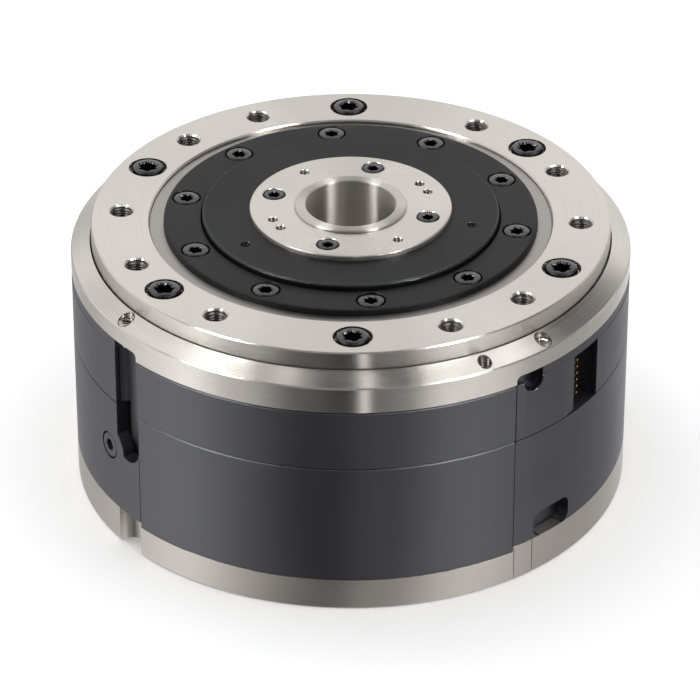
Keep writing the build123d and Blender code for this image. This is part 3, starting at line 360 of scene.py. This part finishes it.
edge_smoother = smooth_tree(smooth_angle)
edge_widths = {
    0.3 * mm: ("lower_housing", "lower_front_cover"),
    0.2 * mm: ("upper_housing", "port_cover", "upper_front_cover", "base_ring", "base_insert",
               "clamp_ring", "hub_flange", "hollow_shaft"),
}
for edge_width, nodes in edge_widths.items():
    for node in nodes:
        break_edges(node, edge_width, edge_smoother)
break_edges("centre_cover", 0.3 * mm, edge_smoother, bare=cut_edge)


# Shapes that repeat, made by geometry nodes: cap screws, and the threads of tapped holes
def new_tree(name, sizes):
    """A geometry tree with the given sizes as named inputs, and its input node."""
    tree = bpy.data.node_groups.new(name, "GeometryNodeTree")
    tree.interface.new_socket("Geometry", in_out="INPUT", socket_type="NodeSocketGeometry")
    for size, default in sizes.items():
        socket = tree.interface.new_socket(size, in_out="INPUT", socket_type="NodeSocketFloat")
        socket.default_value = default
    tree.interface.new_socket("Material", in_out="INPUT", socket_type="NodeSocketMaterial")
    tree.interface.new_socket("Geometry", in_out="OUTPUT", socket_type="NodeSocketGeometry")
    return tree, add(tree, "NodeGroupInput").outputs


def surface_net(tree, across, along):
    """A net of unit size: its mesh, and how far each point lies across and along it, from 0 to 1."""
    net = add(tree, "GeometryNodeMeshGrid", {
        "Size X": 1, "Size Y": 1, "Vertices X": across, "Vertices Y": along})
    place = add(tree, "ShaderNodeSeparateXYZ", {0: add(tree, "GeometryNodeInputPosition").outputs[0]})
    u = add(tree, "ShaderNodeMath", {0: place.outputs[0], 1: 0.5}, operation="ADD")
    v = add(tree, "ShaderNodeMath", {0: place.outputs[1], 1: 0.5}, operation="ADD")
    return net.outputs[0], u.outputs[0], v.outputs[0]


def place_copies(tree, inputs, shape, sharp_angle=30):
    """Ends a tree: copies of the shape at every point of the input, turned as its turn attribute says."""
    closed = add(tree, "GeometryNodeMergeByDistance", {"Geometry": shape, "Distance": join_gap / 2})
    smooth = shade_smooth(tree, closed.outputs[0], sharp_angle)
    turn = add(tree, "GeometryNodeInputNamedAttribute", {"Name": "turn"}, data_type="FLOAT_VECTOR")
    copies = add(tree, "GeometryNodeInstanceOnPoints", {
        "Points": inputs["Geometry"], "Instance": smooth,
        "Rotation": add(tree, "FunctionNodeEulerToRotation", {0: turn.outputs[0]}).outputs[0]})
    real = add(tree, "GeometryNodeRealizeInstances", {"Geometry": copies.outputs[0]})
    dressed = add(tree, "GeometryNodeSetMaterial", {
        "Geometry": real.outputs[0], "Material": inputs["Material"]})
    add(tree, "NodeGroupOutput", {0: dressed.outputs[0]})
    return tree


def pick_corner(tree, row, corners):
    """The three values of the corner that a row of the net stands for, counted from 0."""
    pick = add(tree, "GeometryNodeIndexSwitch", data_type="VECTOR")
    while len(pick.index_switch_items) < len(corners):
        pick.index_switch_items.new()
    whole = add(tree, "FunctionNodeFloatToInt", {0: row}, rounding_mode="ROUND")
    tree.links.new(whole.outputs[0], pick.inputs["Index"])
    for i, values in enumerate(corners):
        corner = add(tree, "ShaderNodeCombineXYZ", dict(enumerate(values)))
        tree.links.new(corner.outputs[0], pick.inputs[str(i)])
    return add(tree, "ShaderNodeSeparateXYZ", {0: pick.outputs[0]}).outputs


def wrap_round(tree, shape, radius, angle, depth):
    """Moves the points of a net to a radius and angle round the axis, and a depth below the origin."""
    cosine = add(tree, "ShaderNodeMath", {0: angle}, operation="COSINE").outputs[0]
    sine = add(tree, "ShaderNodeMath", {0: angle}, operation="SINE").outputs[0]
    x, y, z = (add(tree, "ShaderNodeMath", {0: length, 1: share}, operation="MULTIPLY").outputs[0]
               for length, share in ((radius, cosine), (radius, sine), (depth, -1)))
    point = add(tree, "ShaderNodeCombineXYZ", {0: x, 1: y, 2: z}).outputs[0]
    return add(tree, "GeometryNodeSetPosition", {"Geometry": shape, "Position": point}).outputs[0]


def screw_tree():
    """Cap screws with a six-lobed or hexagon socket. Depths run down from the top of the head."""
    tree, inputs = new_tree("cap screws", {
        "Head Radius": 4.3 * mm, "Head Height": 5 * mm, "Thread Radius": 2.5 * mm,
        "Length": 12 * mm, "Socket Radius": 2.3 * mm, "Socket Depth": 2.6 * mm,
        "Edge": 0.5 * mm, "Lip": 0.25 * mm, "Hexagon": 0})
    steps_around = 97
    # Of the socket's size: the lobes' valleys and tips, and half the width across a hexagon's flats.
    # Of the head's edge: the share that is rounded
    valley = 0.79
    tip = 1.02
    half_flat = 0.9
    rounded = 0.3
    lip_radius = add(tree, "ShaderNodeMath", {0: inputs["Socket Radius"], 1: inputs["Lip"]},
                     operation="ADD").outputs[0]
    face_radius = add(tree, "ShaderNodeMath", {0: inputs["Head Radius"], 1: inputs["Edge"]},
                      operation="SUBTRACT").outputs[0]
    edge_drop = add(tree, "ShaderNodeMath", {0: inputs["Edge"], 1: rounded}, operation="MULTIPLY"
                    ).outputs[0]
    edge_radius = add(tree, "ShaderNodeMath", {0: inputs["Head Radius"], 1: edge_drop},
                      operation="SUBTRACT").outputs[0]
    # Each corner of the section: its radius, how much of the socket's outline it follows, its depth
    corners = (
        (0, 0, inputs["Socket Depth"]), (inputs["Socket Radius"], 1, inputs["Socket Depth"]),
        (inputs["Socket Radius"], 1, inputs["Lip"]), (lip_radius, 0.8, 0), (face_radius, 0, 0),
        (edge_radius, 0, edge_drop), (inputs["Head Radius"], 0, inputs["Edge"]),
        (inputs["Head Radius"], 0, inputs["Head Height"]),
        (inputs["Thread Radius"], 0, inputs["Head Height"]),
        (inputs["Thread Radius"], 0, inputs["Length"]), (0, 0, inputs["Length"]),
    )
    shape, u, v = surface_net(tree, steps_around, len(corners))
    row = add(tree, "ShaderNodeMath", {0: v, 1: len(corners) - 1}, operation="MULTIPLY").outputs[0]
    corner_radius, follows, depth = pick_corner(tree, row, corners)
    angle = add(tree, "ShaderNodeMath", {0: u, 1: tau}, operation="MULTIPLY").outputs[0]
    six_times = add(tree, "ShaderNodeMath", {0: angle, 1: 6}, operation="MULTIPLY")
    wave = add(tree, "ShaderNodeMath", {0: six_times.outputs[0]}, operation="COSINE")
    lobes = add(tree, "ShaderNodeMapRange", {
        "Value": wave.outputs[0], "From Min": -1, "From Max": 1, "To Min": valley, "To Max": tip})
    flat_turn = add(tree, "ShaderNodeMath", {0: angle, 1: pi / 3}, operation="FLOORED_MODULO")
    from_middle = add(tree, "ShaderNodeMath", {0: flat_turn.outputs[0], 1: pi / 6}, operation="SUBTRACT")
    flat_cosine = add(tree, "ShaderNodeMath", {0: from_middle.outputs[0]}, operation="COSINE")
    flats = add(tree, "ShaderNodeMath", {0: half_flat, 1: flat_cosine.outputs[0]}, operation="DIVIDE")
    outline = add(tree, "ShaderNodeMix", {
        0: inputs["Hexagon"], 2: lobes.outputs[0], 3: flats.outputs[0]}).outputs[0]
    share = add(tree, "ShaderNodeMix", {0: follows, 2: 1, 3: outline}).outputs[0]
    radius = add(tree, "ShaderNodeMath", {0: corner_radius, 1: share}, operation="MULTIPLY").outputs[0]
    return place_copies(tree, inputs, wrap_round(tree, shape, radius, angle, depth))


def thread_tree(turns):
    """The ridge of an internal thread, a three-sided coil that runs down a tapped hole."""
    tree, inputs = new_tree(f"thread of {turns} turns", {
        "Radius": 3 * mm, "Pitch": 1 * mm, "Ridge": 0.5 * mm, "Start": 0.5 * mm})
    steps_per_turn = 40
    run_out = 0.5
    # Each corner of the section: how far it stands in from the wall, in ridges, and up, in pitches. The
    # two at the wall lie a little behind it
    corners = ((-0.04, -0.44), (1, 0), (-0.04, 0.44), (-0.04, -0.44))
    shape, u, v = surface_net(tree, turns * steps_per_turn + 1, len(corners))
    row = add(tree, "ShaderNodeMath", {0: v, 1: len(corners) - 1}, operation="MULTIPLY").outputs[0]
    inwards, rise, _ = pick_corner(tree, row, corners)
    turn = add(tree, "ShaderNodeMath", {0: u, 1: turns}, operation="MULTIPLY").outputs[0]
    # The ridge runs out to nothing at both ends
    from_end = add(tree, "ShaderNodeMath", {0: turns, 1: turn}, operation="SUBTRACT")
    nearest = add(tree, "ShaderNodeMath", {0: turn, 1: from_end.outputs[0]}, operation="MINIMUM")
    full = add(tree, "ShaderNodeMapRange", {"Value": nearest.outputs[0], "From Max": run_out}).outputs[0]
    inwards = add(tree, "ShaderNodeMath", {0: inwards, 1: full}, operation="MULTIPLY")
    stand = add(tree, "ShaderNodeMath", {0: inwards.outputs[0], 1: inputs["Ridge"]},
                operation="MULTIPLY")
    radius = add(tree, "ShaderNodeMath", {0: inputs["Radius"], 1: stand.outputs[0]},
                 operation="SUBTRACT").outputs[0]
    angle = add(tree, "ShaderNodeMath", {0: turn, 1: -tau}, operation="MULTIPLY").outputs[0]
    rise = add(tree, "ShaderNodeMath", {0: rise, 1: full}, operation="MULTIPLY")
    fall = add(tree, "ShaderNodeMath", {0: turn, 1: rise.outputs[0]}, operation="SUBTRACT")
    depth = add(tree, "ShaderNodeMath", {
        0: fall.outputs[0], 1: inputs["Pitch"], 2: inputs["Start"]}, operation="MULTIPLY_ADD").outputs[0]
    coil = wrap_round(tree, shape, radius, angle, depth)
    return place_copies(tree, inputs, coil, sharp_angle=50)


def build_copies(name, tree, places, sizes, material, body, replaced=()):
    """Runs a tree on the given (point, direction, turn) places and keeps its result as a plain piece."""
    seeds = bpy.data.meshes.new(name + " places")
    seeds.from_pydata([point for point, _, _ in places], [], [])
    turn = seeds.attributes.new("turn", "FLOAT_VECTOR", "POINT")
    for i, (_, direction, spin) in enumerate(places):
        tilt = Vector(direction).to_track_quat("Z", "Y") @ Euler((0, 0, spin)).to_quaternion()
        turn.data[i].vector = tilt.to_euler()
    maker = bpy.data.objects.new(name + " maker", seeds)
    bpy.context.scene.collection.objects.link(maker)
    modifier = maker.modifiers.new("copies", "NODES")
    modifier.node_group = tree
    sockets = {item.name: item.identifier for item in tree.interface.items_tree
               if item.in_out == "INPUT"}
    for size, value in sizes.items():
        modifier[sockets[size]] = value
    modifier[sockets["Material"]] = material
    result = bpy.data.meshes.new_from_object(maker.evaluated_get(bpy.context.evaluated_depsgraph_get()))
    bpy.data.objects.remove(maker)
    shape = bmesh.new()
    shape.from_mesh(result)
    bmesh.ops.recalc_face_normals(shape, faces=shape.faces)
    shape.to_mesh(result)
    shape.free()
    piece = bpy.data.objects.new(name, result)
    bpy.context.scene.collection.objects.link(piece)
    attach(piece, body)
    if replaced:
        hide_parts(*replaced)
    return piece


def on_circle(radius, angles, height, up=1):
    """Places on a flat face. Each screw is left at another turn by its driver."""
    first_turn = 11
    turn_step = 37
    return [((radius * cos(radians(a)), radius * sin(radians(a)), height), (0, 0, up),
             radians(first_turn + turn_step * i)) for i, a in enumerate(angles)]


screws = screw_tree()
m5_sizes = {"Head Radius": 4.3 * mm, "Head Height": 5 * mm, "Thread Radius": 2.5 * mm,
            "Length": 12.5 * mm, "Socket Radius": 2.55 * mm, "Socket Depth": 2.8 * mm,
            "Edge": 0.75 * mm, "Lip": 0.4 * mm}
m4_sizes = {"Head Radius": 3.5 * mm, "Head Height": 4 * mm, "Thread Radius": 2 * mm,
            "Length": 10.9 * mm, "Socket Radius": 1.85 * mm, "Socket Depth": 2.2 * mm,
            "Edge": 0.45 * mm, "Lip": 0.25 * mm}
m3_sizes = {"Head Radius": 2.75 * mm, "Head Height": 3 * mm, "Thread Radius": 1.5 * mm,
            "Length": 6.4 * mm, "Socket Radius": 1.55 * mm, "Socket Depth": 1.7 * mm,
            "Edge": 0.4 * mm, "Lip": 0.2 * mm}
cone_sizes = {"Head Radius": 2.2 * mm, "Head Height": 2.5 * mm, "Thread Radius": 1.25 * mm,
              "Length": 7.3 * mm, "Socket Radius": 1.2 * mm, "Socket Depth": 1.5 * mm,
              "Edge": 0.45 * mm, "Lip": 0.2 * mm, "Hexagon": 1}
side_sizes = {"Head Radius": 3.5 * mm, "Head Height": 1.8 * mm, "Thread Radius": 2 * mm,
              "Length": 5.8 * mm, "Socket Radius": 1.75 * mm, "Socket Depth": 1.4 * mm,
              "Edge": 0.4 * mm, "Lip": 0.2 * mm, "Hexagon": 1}

build_copies("flange_bolts", screws,
             on_circle(flange_pitch, flange_screw_angles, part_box("output_flange_screws")[1].z),
             m5_sizes, black_oxide, "output", ["output_flange_screws"])
build_copies("clamp_bolts", screws,
             on_circle(clamp_pitch, clamp_screw_angles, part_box("clamp_ring_screws")[1].z),
             m4_sizes, black_oxide, "output", ["clamp_ring_screws"])
build_copies("hub_bolts", screws,
             on_circle(hub_pitch, hub_screw_angles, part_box("hub_screws")[1].z),
             m3_sizes, black_oxide, "output", ["hub_screws"])
build_copies("cone_bolts", screws,
             on_circle(cone_pitch, cone_screw_angles, cone_screw_top + cone_screw_rise),
             cone_sizes, bright_screw_steel, "housing", ["retaining_ring_screws"])
side_direction = (cos(radians(side_screw_angle)), sin(radians(side_screw_angle)), 0)
side_point = [c * (body_radius - side_screw_sink) for c in side_direction[:2]] + [side_screw_height]
side_turn = 0.2
build_copies("side_bolt", screws, [(side_point, side_direction, side_turn)], side_sizes,
             dark_anodised, "housing", ["clamp_screw"])
build_copies("base_bolts", screws,
             on_circle(base_pitch, base_screw_angles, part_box("base_screws")[0].z, up=-1),
             {**m4_sizes, "Length": 12.4 * mm}, bright_screw_steel, "housing",
             ["base_screws"])

# Coarse enough to show: the pitch of the load's threads is drawn as 0.75 mm
m6_thread = thread_tree(10)
fine_thread = thread_tree(7)
# The load, base, cone and hub threads take the darkened thread colour, a painted shade for the inside of
# the holes
build_copies("load_threads", m6_thread, on_circle(flange_pitch, flange_tap_angles, flange_top),
             {"Radius": 3 * mm, "Pitch": 0.75 * mm, "Ridge": 0.42 * mm, "Start": 0.75 * mm},
             thread_steel_painted_shade, "output")
build_copies("base_threads", fine_thread, on_circle(base_pitch, base_tap_angles, 0, up=-1),
             {"Radius": 2.5 * mm, "Pitch": 0.8 * mm, "Ridge": 0.4 * mm, "Start": 0.4 * mm},
             thread_steel_painted_shade, "housing")
build_copies("cone_threads", fine_thread, on_circle(cone_pitch, cone_tap_angles, cone_top),
             {"Radius": 1.9 * mm, "Pitch": 0.7 * mm, "Ridge": 0.32 * mm, "Start": 1.4 * mm},
             thread_steel_painted_shade, "housing")
build_copies("hub_threads", fine_thread, on_circle(hub_hole_pitch, hub_hole_angles, hub_top),
             {"Radius": 1.25 * mm, "Pitch": 0.5 * mm, "Ridge": 0.22 * mm, "Start": 0.3 * mm},
             thread_steel_painted_shade, "output")
build_copies("jack_threads", fine_thread, on_circle(jack_pitch, jack_angles, cover_top),
             {"Radius": 1.4 * mm, "Pitch": 0.5 * mm, "Ridge": 0.25 * mm, "Start": 0.3 * mm},
             black_anodised, "output")

# Studio: a white floor, and round it the cards and lamps that the metal mirrors
view_azimuth = 34.5
to_front = Vector((sin(radians(view_azimuth)), -cos(radians(view_azimuth)), 0))
to_right = Vector((cos(radians(view_azimuth)), sin(radians(view_azimuth)), 0))


def white_floor():
    """A sheet of white paper under the part. Only the camera and soft light see it."""
    half = 12
    below_part = 0.1 * mm
    mesh = bpy.data.meshes.new("floor")
    mesh.from_pydata([(-half, -half, 0), (half, -half, 0), (half, half, 0), (-half, half, 0)],
                     [], [(0, 1, 2, 3)])
    floor = bpy.data.objects.new("floor", mesh)
    bpy.context.scene.collection.objects.link(floor)
    floor.location.z = -below_part
    floor.visible_glossy = False
    material = bpy.data.materials.new("matt white paper")
    material.use_nodes = True
    shader = material.node_tree.nodes["Principled BSDF"]
    shader.inputs["Base Color"].default_value = hex_colour("#fafafa")
    shader.inputs["Roughness"].default_value = 1
    shader.inputs["Specular IOR Level"].default_value = 0
    mesh.materials.append(material)


def ramp(tree, value, stops):
    """A grey ramp through (position, brightness) stops."""
    node = add(tree, "ShaderNodeValToRGB", {0: value})
    band = node.color_ramp
    band.interpolation = "EASE"
    while len(band.elements) < len(stops):
        band.elements.new(0.5)
    for element, (position, _) in zip(band.elements, stops):
        element.position = position
    for element, (_, light) in zip(band.elements, stops):
        grey = light / card_power
        element.color = (grey, grey, grey, 1)
    return node.outputs[0]


# Brightness of the cards round the part, by the angle to the right of the camera: 0 is behind it
low_cards = (
    (-180, 0.9), (-150, 0.6), (-136, 0.55), (-105, 0.8), (-88, 1.05), (-72, 1.3), (-48, 0.6),
    (-21, 0.13), (0, 0.04), (21, 0.26), (42, 1.0), (62, 0.9), (82, 0.5), (100, 0.45), (130, 0.55),
    (154, 0.9), (180, 0.9),
)
# Brightness overhead by height in degrees: on the camera's side, and behind to the left and right
front_ceiling = ((0, 0.12), (44, 0.08), (53, 0.45), (67, 0.45), (74, 0.06), (90, 0.04))
left_ceiling = ((0, 1.3), (18, 1.3), (33, 0.8), (51, 1.1), (61, 1.6), (70, 0.3), (78, 1.5), (81, 0.1),
                (90, 0.06))
right_ceiling = ((0, 1.5), (18, 1.5), (30, 0.2), (47, 0.15), (58, 1.8), (66, 1.0), (71, 0.8),
                 (76, 0.1), (90, 0.06))
# The big soft box behind the part, which the flat faces mirror
back_box = 1.04
back_gap = 0.08
back_box_top = 46
back_gap_start = 58
side_start = 150
back_start = 166
# How far a direction lies to the left or right, and to the back or front, where one ceiling gives way
# to the next
left_end = -0.04
right_start = 0.04
back_end = -0.06
front_start = 0.3
# Between these heights the low cards give way to the ceiling
ceiling_start = 10
ceiling_full = 26
# Tall narrow lamps that streak the turned faces, by angle: half width, brightness, bottom and top
strips = {5.6: (1.1, 1.35, -60, 12), 54: (2.5, 20, 22, 64), -68: (2.5, 20, 22, 60)}
strip_fade = 8
# A long bare tube overhead, that points to the camera and streaks the cone
tube_aside = 0.045
tube_half_width = 0.008
tube_light = 4
tube_start = 62
tube_full = 70
tube_end = 0.1
tube_fade = -0.05
card_power = 2.5
paper_light = 1.17
lamp_aim = 40 * mm


def studio_world():
    """White to the camera, even to soft light, and cards by direction to mirrors."""
    world = bpy.data.worlds.new("studio")
    world.use_nodes = True
    tree = world.node_tree
    tree.nodes.clear()

    def span(value, low, high):
        return add(tree, "ShaderNodeMapRange", {"Value": value, "From Min": low, "From Max": high},
                   interpolation_type="SMOOTHSTEP").outputs[0]

    def blend(share, first, second):
        return add(tree, "ShaderNodeMix", {0: share, 2: first, 3: second}).outputs[0]

    def times(first, second):
        return add(tree, "ShaderNodeMath", {0: first, 1: second}, operation="MULTIPLY").outputs[0]

    direction = add(tree, "ShaderNodeTexCoord").outputs["Generated"]
    forward = add(tree, "ShaderNodeVectorMath", {0: direction, 1: to_front}, operation="DOT_PRODUCT"
                  ).outputs["Value"]
    sideways = add(tree, "ShaderNodeVectorMath", {0: direction, 1: to_right}, operation="DOT_PRODUCT"
                   ).outputs["Value"]
    around = add(tree, "ShaderNodeMath", {0: sideways, 1: forward}, operation="ARCTAN2").outputs[0]
    turn = add(tree, "ShaderNodeMapRange", {"Value": around, "From Min": -pi, "From Max": pi}).outputs[0]
    height = add(tree, "ShaderNodeSeparateXYZ", {0: direction}).outputs[2]
    rise = add(tree, "ShaderNodeMath", {0: height}, operation="ARCSINE").outputs[0]
    raised = add(tree, "ShaderNodeMapRange", {"Value": rise, "From Min": 0, "From Max": pi / 2}
                 ).outputs[0]
    low = ramp(tree, turn, [((angle + 180) / 360, grey) for angle, grey in low_cards])
    front, left, right = (ramp(tree, raised, [(angle / 90, grey) for angle, grey in stops])
                          for stops in (front_ceiling, left_ceiling, right_ceiling))
    sides = blend(span(sideways, left_end, right_start), left, right)
    # The soft box fades out to both sides, and stops below a dark gap
    off_middle = add(tree, "ShaderNodeMath", {0: around}, operation="ABSOLUTE").outputs[0]
    column = blend(span(rise, radians(back_gap_start), radians(back_box_top)), back_gap / card_power,
                   back_box / card_power)
    behind = blend(span(off_middle, radians(side_start), radians(back_start)), sides, column)
    ceiling = blend(span(forward, back_end, front_start), behind, front)
    cards = blend(span(rise, radians(ceiling_start), radians(ceiling_full)), low, ceiling)
    mirrored = times(cards, card_power)
    for angle, (half_width, light, bottom, top) in strips.items():
        strip_height = times(span(rise, radians(bottom), radians(bottom + strip_fade)),
                             span(rise, radians(top + strip_fade), radians(top)))
        aside = add(tree, "ShaderNodeMath", {0: around, 1: radians(angle)}, operation="SUBTRACT")
        aside = add(tree, "ShaderNodeMath", {0: aside.outputs[0]}, operation="ABSOLUTE").outputs[0]
        strip = times(span(aside, radians(2 * half_width), radians(half_width)), strip_height)
        mirrored = add(tree, "ShaderNodeMath", {0: strip, 1: light, 2: mirrored},
                       operation="MULTIPLY_ADD").outputs[0]
    beside = add(tree, "ShaderNodeMath", {0: sideways, 1: tube_aside}, operation="SUBTRACT").outputs[0]
    beside = add(tree, "ShaderNodeMath", {0: beside}, operation="ABSOLUTE").outputs[0]
    tube = times(span(beside, 2 * tube_half_width, tube_half_width),
                 span(rise, radians(tube_start), radians(tube_full)))
    tube = times(tube, span(forward, tube_end, tube_fade))
    mirrored = add(tree, "ShaderNodeMath", {0: tube, 1: tube_light, 2: mirrored},
                   operation="MULTIPLY_ADD").outputs[0]
    path = add(tree, "ShaderNodeLightPath").outputs
    lit = blend(path["Is Glossy Ray"], paper_light, mirrored)
    seen = blend(path["Is Camera Ray"], lit, 1)
    background = add(tree, "ShaderNodeBackground", {"Strength": seen, "Color": (1, 1, 1, 1)})
    add(tree, "ShaderNodeOutputWorld", {0: background.outputs[0]})
    bpy.context.scene.world = world


def soft_lamp(name, azimuth, elevation, distance, width, height, power):
    """A rectangular lamp that looks at the part, for soft shadows only. Azimuth is as for a view."""
    data = bpy.data.lights.new(name, "AREA")
    data.shape = "RECTANGLE"
    data.size = width
    data.size_y = height
    data.energy = power
    lamp = bpy.data.objects.new(name, data)
    a, e = radians(azimuth), radians(elevation)
    middle = Vector((0, 0, lamp_aim))
    lamp.location = middle + distance * Vector((cos(e) * sin(a), -cos(e) * cos(a), sin(e)))
    lamp.rotation_euler = (middle - lamp.location).to_track_quat("-Z", "Y").to_euler()
    lamp.visible_glossy = False
    bpy.context.scene.collection.objects.link(lamp)


white_floor()
studio_world()
soft_lamp("back left lamp", azimuth=view_azimuth - 130, elevation=50, distance=1.6, width=0.8,
          height=0.8, power=3)
soft_lamp("right lamp", azimuth=view_azimuth + 60, elevation=60, distance=1.6, width=0.8, height=0.8,
          power=1.5)

# Camera: fitted to the photograph, which has the output face's middle a little off its own centre
camera_elevation = 29.905
lens = 225.6
film_width = 36
camera_distance = 1173.2 * mm
face_middle = Vector((0, 0, flange_top))
aim_below = 1.741
aim_left = 0.22 * mm
data = bpy.data.cameras.new("camera")
data.lens = lens
data.sensor_width = film_width
data.clip_start = 0.01
camera = bpy.data.objects.new("camera", data)
bpy.context.scene.collection.objects.link(camera)
a, e = radians(view_azimuth), radians(camera_elevation)
camera.location = face_middle + camera_distance * Vector((cos(e) * sin(a), -cos(e) * cos(a), sin(e)))
tilt = radians(90 - camera_elevation - aim_below)
camera.rotation_euler = (tilt, 0, a + aim_left / camera_distance)
bpy.context.scene.camera = camera
bpy.context.scene.view_settings.view_transform = "Standard"
